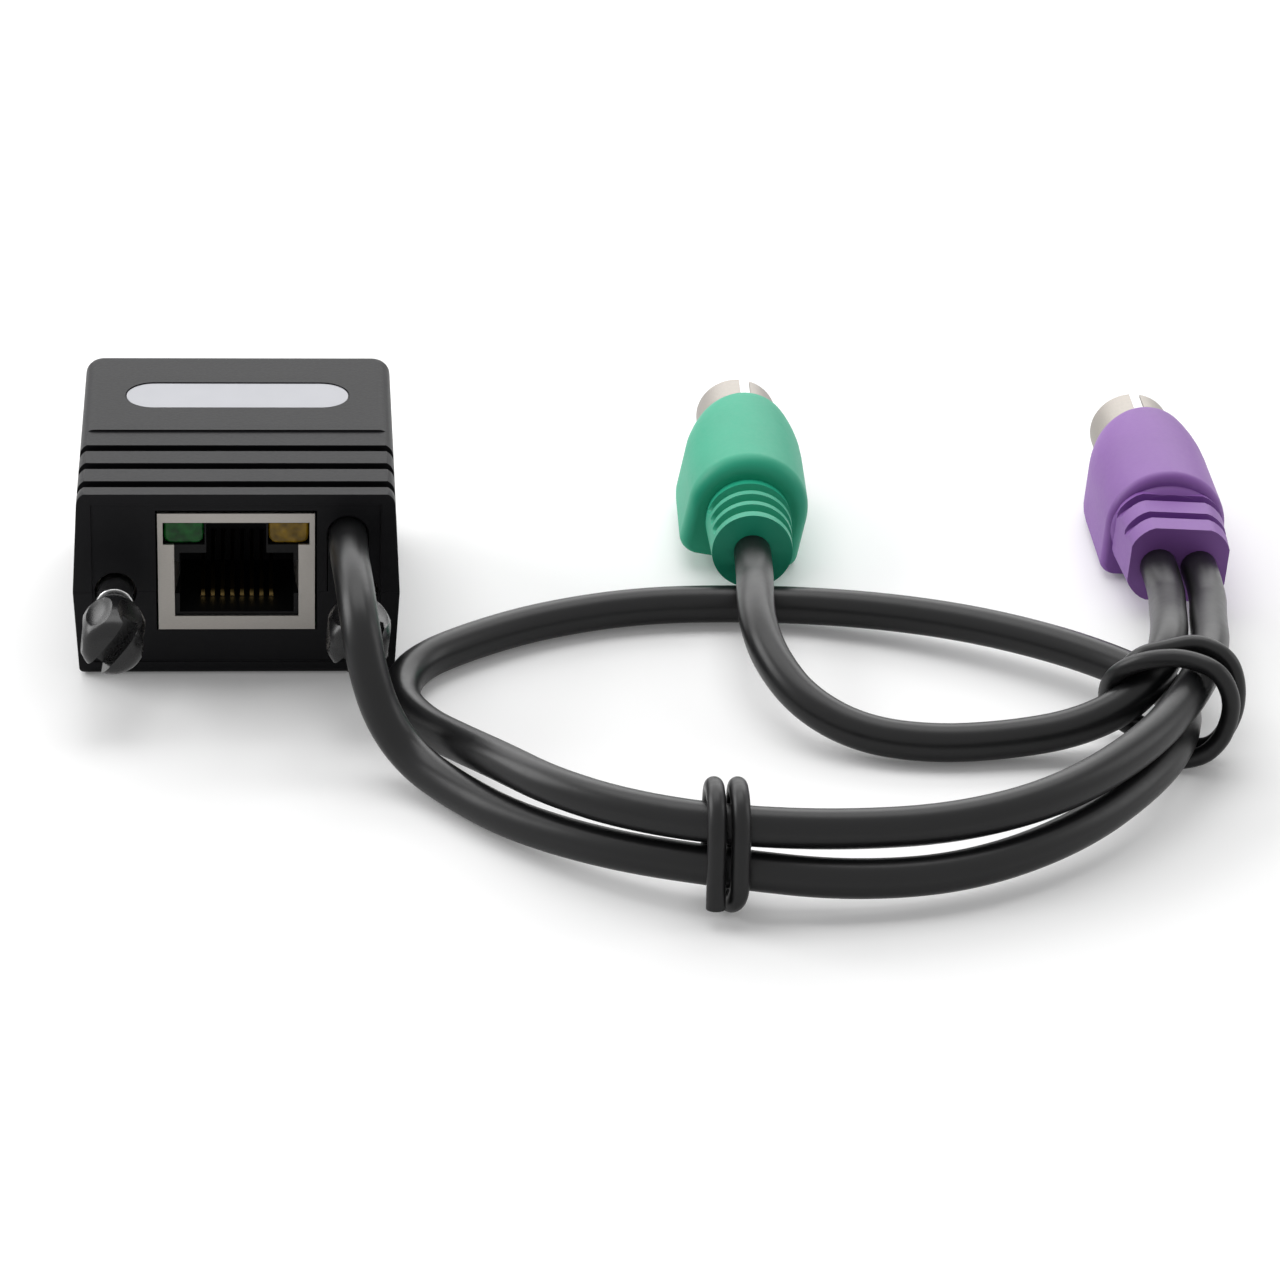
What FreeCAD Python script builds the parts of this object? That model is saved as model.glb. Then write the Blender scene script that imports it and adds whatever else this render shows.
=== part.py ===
"""Inline KVM dongle: a two-shell housing with a network jack at the front and
a video plug with two thumbscrews at the back, and one cord that loops out to
a pair of round keyboard and mouse plugs.

Pieces are drawn from the middle of the housing's front face: X to the right,
Y to the back, Z up from the surface it stands on.
"""
import FreeCAD
import Part
import Sketcher
import math
import os

Vector = FreeCAD.Vector

DIMENSIONS = [
    # housing
    ("case_width", 33.84),
    ("case_top_width", 32.6),
    ("case_base_width", 32.8),
    ("case_depth", 33.5),
    ("case_height", 21.3),
    ("parting_height", 9.72),
    ("case_wall", 1.5),
    ("case_edge_round", 1.5),
    ("case_base_round", 0.9),
    ("case_corner_round", 2.0),
    ("ridge_zone", 14.7),
    ("ridge_drop", 0.2),
    ("groove_first", 1.72),
    ("groove_width", 1.35),
    ("groove_pitch", 4.18),
    ("groove_deep", 0.7),
    ("panel_border", 1.5),
    ("panel_deep", 0.25),
    # label recess
    ("label_length", 23.8),
    ("label_width", 6.1),
    ("label_recess", 0.5),
    ("label_thick", 0.4),
    ("label_from_front", 23.2),
    # network jack
    ("jack_width", 16.2),
    ("jack_height", 13.5),
    ("jack_depth", 16.0),
    ("jack_sheet", 0.3),
    ("jack_gap", 0.2),
    ("window_wide", 15.1),
    ("window_narrow", 12.8),
    ("window_floor", 1.56),
    ("window_step", 9.9),
    ("window_top", 12.45),
    ("mouth_width", 11.8),
    ("mouth_floor", 1.9),
    ("mouth_top", 8.8),
    ("mouth_deep", 12.0),
    ("latch_width", 6.2),
    ("latch_top", 12.2),
    ("finger_length", 4.2),
    ("finger_width", 3.6),
    ("contact_pitch", 1.016),
    ("contact_thick", 0.4),
    ("contact_tip", 3.8),
    ("contact_rise", 3.6),
    ("lamp_width", 4.2),
    ("lamp_height", 2.6),
    ("lamp_depth", 4.0),
    ("lamp_round", 0.9),
    # circuit board
    ("board_width", 20.0),
    ("board_thick", 1.6),
    ("board_height", 3.8),
    ("board_setback", 1.8),
    ("board_end_gap", 1.5),
    ("board_length", "=case_depth - board_setback - board_end_gap"),
    ("post_radius", 2.0),
    ("post_spacing", 14.0),
    ("chip_side", 7.0),
    ("chip_offset", -1.6),
    ("chip_height", 1.4),
    ("crystal_offset", 5.4),
    ("crystal_length", 5.0),
    ("crystal_width", 3.2),
    ("crystal_height", 1.1),
    # video plug
    ("flange_width", 30.8),
    ("flange_height", 12.5),
    ("flange_thick", 0.8),
    ("flange_gap", 0.2),
    ("shell_width", 16.92),
    ("shell_height", 8.36),
    ("shell_reach", 5.9),
    ("shell_wall", 0.5),
    ("shell_slant", 10.0),
    ("shell_round", 2.0),
    ("plug_body_width", 17.6),
    ("plug_body_height", 8.6),
    ("plug_body_depth", 7.0),
    ("pin_pitch", 2.29),
    ("pin_row_pitch", 1.98),
    ("pin_radius", 0.5),
    ("pin_short", 0.6),
    ("ear_radius", 1.6),
    # thumbscrews
    ("screw_spacing", 25.0),
    ("screw_hole", 4.35),
    ("screw_travel", 2.0),
    ("shaft_radius", 1.6),
    ("shaft_neck", 1.2),
    ("collar_radius", 1.875),
    ("collar_reach", 3.0),
    ("thread_radius", 1.42),
    ("tail_reach", 6.6),
    ("grip_radius", 3.5),
    ("grip_neck", 2.1),
    ("grip_length", 10.0),
    ("flute_radius", 1.9),
    ("flute_bite", 0.75),
    ("grip_slot", 1.2),
    ("grip_slot_deep", 2.0),
    ("ring_radius", 2.7),
    ("ring_thick", 0.8),
    ("ring_gap", 0.1),
    ("ring_room", 0.4),
    # cord and its way out of the housing
    ("cord_radius", 2.0),
    ("slot_offset", 11.5),
    ("slot_width", 4.3),
    ("slot_centre", 16.3),
    ("clamp_width", 5.2),
    ("clamp_height", 4.8),
    ("clamp_thick", 2.5),
    # round plugs
    ("hood_half_width", 6.6),
    ("hood_below", 5.5),
    ("hood_above", 6.9),
    ("hood_length", 18.0),
    ("hood_round", 0.9),
    ("relief_length", 8.2),
    ("relief_radius", 4.7),
    ("relief_width", 11.0),
    ("relief_height", 8.7),
    ("relief_corner", 3.0),
    ("rib_bite", 0.8),
    ("twin_half", 2.2),
    ("tube_radius", 4.5),
    ("tube_wall", 0.3),
    ("tube_reach", 7.3),
    ("disc_gap", 0.1),
    ("disc_thick", 2.2),
    ("prong_radius", 0.3),
    # ties
    ("tie_radius", 0.95),
]

doc = FreeCAD.newDocument("KvmDongle")
sheet = doc.addObject("Spreadsheet::Sheet", "Sizes")
for row, (alias, number) in enumerate(DIMENSIONS, 1):
    sheet.set("A%d" % row, alias)
    sheet.set("B%d" % row, str(number))
    sheet.setAlias("B%d" % row, alias)
doc.recompute()


class Size:
    """A length with its present value and the expression that drives it."""

    def __init__(self, value, text):
        self.value = value
        self.text = text

    def __add__(self, other):
        other = as_size(other)
        return Size(self.value + other.value, "(%s + %s)" % (self.text, other.text))

    def __sub__(self, other):
        other = as_size(other)
        return Size(self.value - other.value, "(%s - %s)" % (self.text, other.text))

    def __rsub__(self, other):
        return as_size(other) - self

    def __mul__(self, other):
        other = as_size(other)
        return Size(self.value * other.value, "(%s * %s)" % (self.text, other.text))

    def __truediv__(self, other):
        other = as_size(other)
        return Size(self.value / other.value, "(%s / %s)" % (self.text, other.text))

    def __neg__(self):
        return Size(-self.value, "(0 - %s)" % self.text)

    __radd__ = __add__
    __rmul__ = __mul__


def as_size(number):
    if isinstance(number, Size):
        return number
    return Size(float(number), repr(float(number)))


def size(alias):
    return Size(float(sheet.get(alias)), "Sizes." + alias)


# sizes that several pieces share
half_width = size("case_width") / 2
wall = size("case_wall")
depth = size("case_depth")
parting = size("parting_height")
screw_x = size("screw_spacing") / 2
board_top = size("board_height") + size("board_thick")
ring_front = wall + size("screw_travel") + size("ring_gap")
ring_back = ring_front + size("ring_thick")
jack_floor = board_top
jack_top = jack_floor + size("jack_height")
head_reach = size("collar_reach") + size("grip_length")
# the part's frame has its origin under the middle of its rigid pieces
frame_shift = (head_reach - depth - size("tail_reach")) / 2

pieces = []


def bind(feature, **targets):
    for name, length in targets.items():
        feature.setExpression(name.replace("__", "."), as_size(length).text)


def place(feature, x=0.0, y=0.0, z=0.0):
    """Seat a finished piece, given from the front face, in the part's frame."""
    bind(feature, Placement__Base__x=x, Placement__Base__y=frame_shift + y, Placement__Base__z=z)
    pieces.append(feature)


def new_body(label):
    body = doc.addObject("PartDesign::Body", label)
    body.Label = label
    return body


def new_sketch(body, name, role, level=0.0):
    """A sketch on one of the body's origin planes, moved along its normal."""
    plane = [item for item in body.Origin.OriginFeatures if item.Role == role][0]
    sketch = body.newObject("Sketcher::SketchObject", name)
    sketch.AttachmentSupport = [(plane, "")]
    sketch.MapMode = "FlatFace"
    sketch.AttachmentOffset = FreeCAD.Placement(Vector(0, 0, as_size(level).value), FreeCAD.Rotation())
    sketch.setExpression("AttachmentOffset.Base.z", as_size(level).text)
    return sketch


def pin_point(sketch, geometry, corner, x, y):
    index = sketch.addConstraint(Sketcher.Constraint("DistanceX", -1, 1, geometry, corner, x.value))
    sketch.setExpression("Constraints[%d]" % index, x.text)
    index = sketch.addConstraint(Sketcher.Constraint("DistanceY", -1, 1, geometry, corner, y.value))
    sketch.setExpression("Constraints[%d]" % index, y.text)


def outline(sketch, corners):
    """A closed run of straight lines whose corners are bound to the sheet."""
    corners = [(as_size(x), as_size(y)) for x, y in corners]
    points = [Vector(x.value, y.value, 0) for x, y in corners]
    first = sketch.GeometryCount
    count = len(points)
    for index in range(count):
        sketch.addGeometry(Part.LineSegment(points[index], points[(index + 1) % count]), False)
    for index in range(count):
        following = first + (index + 1) % count
        sketch.addConstraint(Sketcher.Constraint("Coincident", first + index, 2, following, 1))
    for index, (x, y) in enumerate(corners):
        pin_point(sketch, first + index, 1, x, y)


def rectangle(sketch, left, right, low, high):
    outline(sketch, [(left, low), (right, low), (right, high), (left, high)])


def circle(sketch, x, y, radius):
    x, y, radius = as_size(x), as_size(y), as_size(radius)
    ring = Part.Circle(Vector(x.value, y.value, 0), Vector(0, 0, 1), radius.value)
    geometry = sketch.addGeometry(ring, False)
    index = sketch.addConstraint(Sketcher.Constraint("Radius", geometry, radius.value))
    sketch.setExpression("Constraints[%d]" % index, radius.text)
    pin_point(sketch, geometry, 3, x, y)


def stadium(sketch, x, y, length, width, upright=False):
    """A slot outline with round ends, its middle at x, y."""
    x, y, radius = as_size(x), as_size(y), as_size(width) / 2
    reach = as_size(length) / 2 - radius
    step = (as_size(0), reach) if upright else (reach, as_size(0))
    ends = [(x - step[0], y - step[1]), (x + step[0], y + step[1])]
    turn = math.pi / 2 if upright else 0.0
    arcs = []
    for number, (ex, ey) in enumerate(ends):
        start = turn + math.pi / 2 + math.pi * number
        middle = Part.Circle(Vector(ex.value, ey.value, 0), Vector(0, 0, 1), radius.value)
        arcs.append(sketch.addGeometry(Part.ArcOfCircle(middle, start, start + math.pi), False))
    sides = []
    for near, far in ((0, 1), (1, 0)):
        a = sketch.getPoint(arcs[near], 2)
        b = sketch.getPoint(arcs[far], 1)
        sides.append(sketch.addGeometry(Part.LineSegment(a, b), False))
    for near, far in ((0, 1), (1, 0)):
        sketch.addConstraint(Sketcher.Constraint("Tangent", arcs[near], 2, sides[near], 1))
        sketch.addConstraint(Sketcher.Constraint("Tangent", sides[near], 2, arcs[far], 1))
    index = sketch.addConstraint(Sketcher.Constraint("Radius", arcs[0], radius.value))
    sketch.setExpression("Constraints[%d]" % index, radius.text)
    for arc, (ex, ey) in zip(arcs, ends):
        pin_point(sketch, arc, 3, ex, ey)


def pad(body, sketch, length, reverse=False):
    feature = body.newObject("PartDesign::Pad", sketch.Name + "Pad")
    feature.Profile = sketch
    bind(feature, Length=length)
    feature.Length = as_size(length).value
    feature.Reversed = reverse
    sketch.Visibility = False
    doc.recompute()
    return feature


def pocket(body, sketch, length, reverse=False, clearance=False):
    """Cut a sketch into the body; only a clearance cut may find nothing in its way."""
    doc.recompute()
    before = body.Shape.Volume
    feature = body.newObject("PartDesign::Pocket", sketch.Name + "Cut")
    feature.Profile = sketch
    bind(feature, Length=length)
    feature.Length = as_size(length).value
    feature.Reversed = reverse
    doc.recompute()
    if not clearance and body.Shape.Volume > before - 1e-6:
        raise RuntimeError("%s removes nothing" % feature.Name)
    return feature


def round_edges(body, name, radius, wanted):
    """Fillet the edges of the body's present shape that a test picks."""
    doc.recompute()
    base = body.Tip
    names = ["Edge%d" % number for number, edge in enumerate(base.Shape.Edges, 1) if wanted(edge)]
    feature = body.newObject("PartDesign::Fillet", name)
    feature.Base = (base, names)
    feature.Radius = as_size(radius).value
    bind(feature, Radius=radius)
    doc.recompute()
    if "Invalid" in feature.State or not names:
        raise RuntimeError("%s rounds nothing" % name)
    return feature


def edge_runs(edge, axis, **limits):
    """True for a straight edge along one axis whose middle is inside the limits."""
    if edge.Curve.TypeId != "Part::GeomLine":
        return False
    if abs(getattr(edge.Curve.Direction, axis)) < 0.99:
        return False
    middle = edge.CenterOfMass
    for name, (low, high) in limits.items():
        if not low <= getattr(middle, name) <= high:
            return False
    return True


def box(name, left, right, front, back, low, high):
    left, right, front, back, low, high = [as_size(v) for v in (left, right, front, back, low, high)]
    block = doc.addObject("Part::Box", name)
    bind(block, Length=right - left, Width=back - front, Height=high - low)
    bind(block, Placement__Base__x=left, Placement__Base__y=front, Placement__Base__z=low)
    return block


def carve(name, base, tool):
    cut = doc.addObject("Part::Cut", name)
    cut.Base = base
    cut.Tool = tool
    return cut


# Housing

def shell_sides(low_half, low, high_half, high):
    return [(-low_half, low), (low_half, low), (high_half, high), (-high_half, high)]


top_half = size("case_top_width") / 2
base_half = size("case_base_width") / 2
case_top = size("case_height")


def front_openings(body, lower):
    """Jack window and the two halves of the screw holes through the front wall."""
    gap = size("jack_gap")
    sketch = new_sketch(body, body.Name + "JackHole", "XZ_Plane", 1.0)
    side = size("jack_width") / 2 + gap
    if lower:
        rectangle(sketch, -side, side, jack_floor - gap, parting + 1.0)
    else:
        rectangle(sketch, -side, side, parting - 1.0, jack_top + gap)
    pocket(body, sketch, wall + 1.5)
    for hand in (-1, 1):
        sketch = new_sketch(body, body.Name + ("LeftHole" if hand < 0 else "RightHole"), "XZ_Plane", 1.0)
        circle(sketch, hand * screw_x, parting, size("screw_hole") / 2)
        pocket(body, sketch, wall + 1.5)


def ring_rooms(body):
    """Room behind the front wall for the rings that keep the thumbscrews in."""
    for hand in (-1, 1):
        sketch = new_sketch(body, body.Name + ("LeftRoom" if hand < 0 else "RightRoom"), "XZ_Plane", -wall)
        circle(sketch, hand * screw_x, parting, size("ring_radius") + size("ring_room"))
        pocket(body, sketch, ring_back - wall + size("ring_room"), clearance=True)


def rear_opening(body):
    """Recess that takes the flange, and the hole for the plug behind it."""
    gap = size("flange_gap")
    sketch = new_sketch(body, body.Name + "FlangeSeat", "XZ_Plane", -(depth - size("flange_thick")))
    side = size("flange_width") / 2 + gap
    rise = size("flange_height") / 2 + gap
    rectangle(sketch, -side, side, parting - rise, parting + rise)
    pocket(body, sketch, size("flange_thick") + 1.0)
    sketch = new_sketch(body, body.Name + "PlugHole", "XZ_Plane", -(depth - wall - 0.5))
    side = size("plug_body_width") / 2 + gap
    rise = size("plug_body_height") / 2 + gap
    rectangle(sketch, -side, side, parting - rise, parting + rise)
    pocket(body, sketch, wall + 1.0)
    for hand in (-1, 1):
        rear_name = body.Name + ("LeftRear" if hand < 0 else "RightRear")
        sketch = new_sketch(body, rear_name, "XZ_Plane", -(depth - wall - 0.5))
        circle(sketch, hand * screw_x, parting, size("screw_hole") / 2)
        pocket(body, sketch, wall + 1.0)


def front_panel(body, low, high):
    """The face is set back a little inside a narrow border."""
    border = size("panel_border")
    side = base_half - border
    sketch = new_sketch(body, body.Name + "Panel", "XZ_Plane", 1.0)
    rectangle(sketch, -side, side, low, high)
    pocket(body, sketch, size("panel_deep") + 1.0)


upper = new_body("upper_shell")
profile = new_sketch(upper, "UpperProfile", "XZ_Plane")
outline(profile, shell_sides(half_width, parting, top_half, case_top))
pad(upper, profile, depth, reverse=True)
back_y = depth.value
round_edges(upper, "UpperCorners", size("case_corner_round"),
            lambda e: abs(e.CenterOfMass.y - back_y) < 0.01 and abs(e.CenterOfMass.x) > 10)
round_edges(upper, "UpperEdges", size("case_edge_round"),
            lambda e: abs(e.CenterOfMass.z - case_top.value) < 0.01 and e.CenterOfMass.y > 0.5)
hollow = new_sketch(upper, "UpperHollow", "XZ_Plane", -wall)
ceiling = case_top - wall - size("groove_deep")
outline(hollow, shell_sides(half_width - wall, parting - 1.0, top_half - wall, ceiling))
pocket(upper, hollow, depth - wall * 2)

# the ridge zone lies a little lower than the plain back half of the lid
drop = size("ridge_drop")
zone = new_sketch(upper, "RidgeZone", "XZ_Plane", 1.0)
rectangle(zone, -half_width - 1.0, half_width + 1.0, case_top - drop, case_top + 1.0)
pocket(upper, zone, size("ridge_zone") + 1.0)

# three grooves run over the lid and down both sides to the parting line
bite = size("groove_deep")
groove_front = size("groove_first")
groove = new_sketch(upper, "Groove", "XZ_Plane", -groove_front)
rectangle(groove, -half_width - 2.0, half_width + 2.0, parting - 2.0, case_top + 2.0)
outline(groove, shell_sides(half_width - bite, parting - 1.0, top_half - bite, case_top - drop - bite))
first_groove = pocket(upper, groove, size("groove_width"))
row = upper.newObject("PartDesign::LinearPattern", "Grooves")
row.Originals = [first_groove]
row.Direction = ([item for item in upper.Origin.OriginFeatures if item.Role == "Y_Axis"][0], [""])
bind(row, Length=size("groove_pitch") * 2)
row.Occurrences = 3
upper.Tip = row
doc.recompute()

front_openings(upper, lower=False)
ring_rooms(upper)
rear_opening(upper)
front_panel(upper, parting - 1.0, jack_top + size("jack_gap") + 0.8)

slot_x = size("slot_offset")
slot_z = size("slot_centre")
slot_half = size("slot_width") / 2
slot = new_sketch(upper, "CordSlot", "XZ_Plane", 1.0)
slot_length = (slot_z - parting) * 2 + slot_half * 2
stadium(slot, slot_x, parting, slot_length, slot_half * 2, upright=True)
pocket(upper, slot, wall + 1.5)

label_seat = new_sketch(upper, "LabelSeat", "XY_Plane", case_top - size("label_recess"))
stadium(label_seat, 0, size("label_from_front"), size("label_length"), size("label_width"))
pocket(upper, label_seat, size("label_recess") + 1.0, reverse=True)
place(upper)

plate = new_body("label_plate")
plate_sketch = new_sketch(plate, "PlateOutline", "XY_Plane", case_top - size("label_recess"))
stadium(plate_sketch, 0, size("label_from_front"), size("label_length") - 0.2, size("label_width") - 0.2)
pad(plate, plate_sketch, size("label_thick"))
place(plate)

lower = new_body("lower_shell")
profile = new_sketch(lower, "LowerProfile", "XZ_Plane")
outline(profile, shell_sides(base_half, 0, half_width, parting))
pad(lower, profile, depth, reverse=True)
round_edges(lower, "LowerCorners", size("case_corner_round"),
            lambda e: abs(e.CenterOfMass.y - back_y) < 0.01 and abs(e.CenterOfMass.x) > 10)
round_edges(lower, "LowerEdges", size("case_base_round"),
            lambda e: abs(e.CenterOfMass.z) < 0.01)
hollow = new_sketch(lower, "LowerHollow", "XZ_Plane", -wall)
outline(hollow, shell_sides(base_half - wall, wall, half_width - wall, parting + 1.0))
pocket(lower, hollow, depth - wall * 2)
front_openings(lower, lower=True)
ring_rooms(lower)
rear_opening(lower)
front_panel(lower, size("panel_border"), parting + 1.0)

# a tongue stands up into the cord slot and ends in a half-round seat
tongue = new_sketch(lower, "Tongue", "XZ_Plane", -size("panel_deep"))
tongue_half = slot_half - 0.1
rectangle(tongue, slot_x - tongue_half, slot_x + tongue_half, parting - 0.5, slot_z - 0.4)
pad(lower, tongue, wall - size("panel_deep"), reverse=True)
seat = new_sketch(lower, "CordSeat", "XZ_Plane", 1.0)
circle(seat, slot_x, slot_z, slot_half)
pocket(lower, seat, wall + 1.5)
hole = new_sketch(lower, "TongueHole", "XZ_Plane", 1.0)
circle(hole, screw_x, parting, size("screw_hole") / 2)
pocket(lower, hole, wall + 1.5)

# four posts carry the circuit board
posts = new_sketch(lower, "Posts", "XY_Plane", wall)
post_x = size("post_spacing") / 2
front_row = size("board_setback") + 4.0
back_row = size("board_setback") + size("board_length") - 4.0
for x in (-post_x, post_x):
    for y in (front_row, back_row):
        circle(posts, x, y, size("post_radius"))
pad(lower, posts, size("board_height") - wall)
place(lower)

# Circuit board

board_front = size("board_setback")
board_back = board_front + size("board_length")
board_left = -size("board_width") / 2
board = box("circuit_board", board_left, -board_left, board_front, board_back,
            size("board_height"), board_top)
place(board, board_left, board_front, size("board_height"))

# the chip and the crystal sit under the middle of the board
board_middle = (board_front + board_back) / 2
chip_half = size("chip_side") / 2
chip_left = size("chip_offset") - chip_half
chip_front = board_middle - chip_half
chip_low = size("board_height") - size("chip_height")
chip = box("controller_chip", chip_left, chip_left + size("chip_side"),
           chip_front, chip_front + size("chip_side"),
           chip_low, size("board_height"))
place(chip, chip_left, chip_front, chip_low)
can = new_body("crystal")
can_base = new_sketch(can, "CanBase", "XY_Plane", size("board_height") - size("crystal_height"))
stadium(can_base, size("crystal_offset"), board_middle,
        size("crystal_length"), size("crystal_width"), upright=True)
pad(can, can_base, size("crystal_height"))
place(can)

# Network jack

sheet_metal = size("jack_sheet")
jack_half = size("jack_width") / 2
jack_depth = size("jack_depth")


def jack_level(alias):
    return jack_floor + size(alias)


def mirrored_steps(steps):
    """A closed outline, the same on both sides of the middle, from its right half."""
    left = [(-as_size(x), y) for x, y in reversed(steps)]
    return steps + left


shield = new_body("jack_shield")
outer = new_sketch(shield, "ShieldOuter", "XZ_Plane")
rectangle(outer, -jack_half, jack_half, jack_floor, jack_top)
pad(shield, outer, jack_depth, reverse=True)
inner = new_sketch(shield, "ShieldInner", "XZ_Plane", -sheet_metal)
rectangle(inner, sheet_metal - jack_half, jack_half - sheet_metal, jack_floor - 1.0, jack_top - sheet_metal)
pocket(shield, inner, jack_depth - sheet_metal * 2)
window = new_sketch(shield, "ShieldWindow", "XZ_Plane", 1.0)
narrow = size("window_narrow") / 2
wide = size("window_wide") / 2
outline(window, mirrored_steps([
    (narrow, jack_level("window_floor")),
    (narrow, jack_level("window_step")),
    (wide, jack_level("window_step")),
    (wide, jack_level("window_top")),
]))
pocket(shield, window, sheet_metal + 1.1)
finger_low = jack_level("window_floor") + 2.6
finger_reach = size("finger_length")
for hand in (-1, 1):
    finger = new_sketch(shield, "LeftFinger" if hand < 0 else "RightFinger", "XY_Plane", finger_low)
    outline(finger, [
        (hand * narrow, 0.0),
        (hand * (narrow + 0.25), 0.0),
        (hand * (narrow - 0.15), finger_reach),
        (hand * (narrow - 0.4), finger_reach),
    ])
    pad(shield, finger, size("finger_width"))
place(shield)

insert = new_body("jack_insert")
slack = 0.05
insert_front = sheet_metal + slack
insert_half = jack_half - sheet_metal - slack
block = new_sketch(insert, "InsertOuter", "XZ_Plane", -insert_front)
rectangle(block, -insert_half, insert_half, jack_floor, jack_top - sheet_metal - slack)
pad(insert, block, jack_depth - insert_front * 2, reverse=True)
mouth_half = size("mouth_width") / 2
mouth_low = jack_level("mouth_floor")
mouth_high = jack_level("mouth_top")
mouth = new_sketch(insert, "Mouth", "XZ_Plane", 0.0)
latch_half = size("latch_width") / 2
outline(mouth, mirrored_steps([
    (mouth_half, mouth_low),
    (mouth_half, mouth_high),
    (latch_half, mouth_high),
    (latch_half, jack_level("latch_top")),
]))
pocket(insert, mouth, size("mouth_deep"))
relief_cut = new_sketch(insert, "FingerRoom", "XZ_Plane", 0.0)
rectangle(relief_cut, -narrow - 0.35, narrow + 0.35,
          finger_low - 0.1, finger_low + size("finger_width") + 0.1)
pocket(insert, relief_cut, finger_reach + 0.3)
lamp_high = jack_level("window_top") - slack
lamp_low = lamp_high - size("lamp_height")
lamp_out = wide - slack
lamp_in = lamp_out - size("lamp_width")
lamp_front = insert_front + 0.15
for hand in (-1, 1):
    room = new_sketch(insert, "LeftLampRoom" if hand < 0 else "RightLampRoom", "XZ_Plane", 0.0)
    outline(room, [
        (hand * (lamp_in - slack), lamp_low - slack),
        (hand * (lamp_out + slack), lamp_low - slack),
        (hand * (lamp_out + slack), lamp_high + slack),
        (hand * (lamp_in - slack), lamp_high + slack),
    ])
    pocket(insert, room, lamp_front + size("lamp_depth") + slack)
place(insert)

for label, hand in (("led_green", -1), ("led_amber", 1)):
    lamp = new_body(label)
    face = new_sketch(lamp, label + "_face", "XZ_Plane", -lamp_front)
    outline(face, [
        (hand * lamp_in, lamp_low),
        (hand * lamp_out, lamp_low),
        (hand * lamp_out, lamp_high),
        (hand * lamp_in, lamp_high),
    ])
    pad(lamp, face, size("lamp_depth"), reverse=True)
    foot = lamp_low.value
    round_edges(lamp, label + "_round", size("lamp_round"),
                lambda e: edge_runs(e, "y", z=(foot - 0.01, foot + 0.01)))
    place(lamp)

# eight spring contacts rise from the mouth's floor towards the back
contacts = new_body("jack_contacts")
contacts.AllowCompound = True
thick = size("contact_thick")
strip = new_sketch(contacts, "Contact", "YZ_Plane", size("contact_pitch") * 3.5 - thick / 2)
tip_y = size("contact_tip")
tip_z = mouth_low + 0.05
end_y = size("mouth_deep") - 0.05
knee_y = tip_y + 5.2
rise = size("contact_rise")
outline(strip, [
    (tip_y, tip_z),
    (tip_y + 0.5, tip_z),
    (knee_y, tip_z + rise - thick),
    (end_y, tip_z + rise - thick),
    (end_y, tip_z + rise),
    (knee_y, tip_z + rise),
    (tip_y, tip_z + thick),
])
one_contact = pad(contacts, strip, thick)
row = contacts.newObject("PartDesign::LinearPattern", "ContactRow")
row.Originals = [one_contact]
row.Direction = ([item for item in contacts.Origin.OriginFeatures if item.Role == "X_Axis"][0], [""])
row.Reversed = True
bind(row, Length=size("contact_pitch") * 7)
row.Occurrences = 8
contacts.Tip = row
place(contacts)

# Video plug


def slanted(half, rise):
    """The D outline: its lower side is narrower by the slant of its ends."""
    lean = rise * 2 * math.tan(math.radians(sheet_slant))
    return [(half, parting + rise), (-half, parting + rise),
            (-(half - lean), parting - rise), (half - lean, parting - rise)]


sheet_slant = size("shell_slant").value
flange_front = depth - size("flange_thick")
flange_half = size("flange_width") / 2
flange_rise = size("flange_height") / 2
tube_half = size("shell_width") / 2
tube_rise = size("shell_height") / 2
hull = new_body("plug_hull")
flange = new_sketch(hull, "Flange", "XZ_Plane", -flange_front)
rectangle(flange, -flange_half, flange_half, parting - flange_rise, parting + flange_rise)
pad(hull, flange, size("flange_thick"), reverse=True)
dee = new_sketch(hull, "DeeOuter", "XZ_Plane", -flange_front)
outline(dee, slanted(tube_half, tube_rise))
pad(hull, dee, size("flange_thick") + size("shell_reach"), reverse=True)
dee_middle = (depth + size("shell_reach") / 2).value
round_edges(hull, "DeeRound", size("shell_round"),
            lambda e: edge_runs(e, "y", y=(dee_middle - 0.05, dee_middle + 0.05)))

bore = new_body("plug_bore")
bore.AllowCompound = True
shell_wall = size("shell_wall")
inner_dee = new_sketch(bore, "DeeInner", "XZ_Plane", -(flange_front - 1.0))
outline(inner_dee, slanted(tube_half - shell_wall, tube_rise - shell_wall))
pad(bore, inner_dee, size("flange_thick") + size("shell_reach") + 2.0, reverse=True)
round_edges(bore, "DeeBoreRound", size("shell_round") - shell_wall,
            lambda e: edge_runs(e, "y"))
for hand in (-1, 1):
    ear = new_sketch(bore, "LeftEar" if hand < 0 else "RightEar", "XZ_Plane", -(flange_front - 1.0))
    circle(ear, hand * screw_x, parting, size("ear_radius"))
    pad(bore, ear, size("flange_thick") + 2.0, reverse=True)
vga_shell = carve("vga_shell", hull, bore)
place(vga_shell)

core = new_body("vga_insert")
plug_half = size("plug_body_width") / 2
plug_rise = size("plug_body_height") / 2
core_front = flange_front - size("plug_body_depth")
back_block = new_sketch(core, "PlugBody", "XZ_Plane", -core_front)
rectangle(back_block, -plug_half, plug_half, parting - plug_rise, parting + plug_rise)
pad(core, back_block, size("plug_body_depth"), reverse=True)
nose = new_sketch(core, "PlugNose", "XZ_Plane", -(flange_front - 0.5))
nose_half = tube_half - shell_wall - 0.6
nose_rise = tube_rise - shell_wall - 0.6
outline(nose, slanted(nose_half, nose_rise))
pad(core, nose, size("flange_thick") + 1.0, reverse=True)
place(core)

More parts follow.
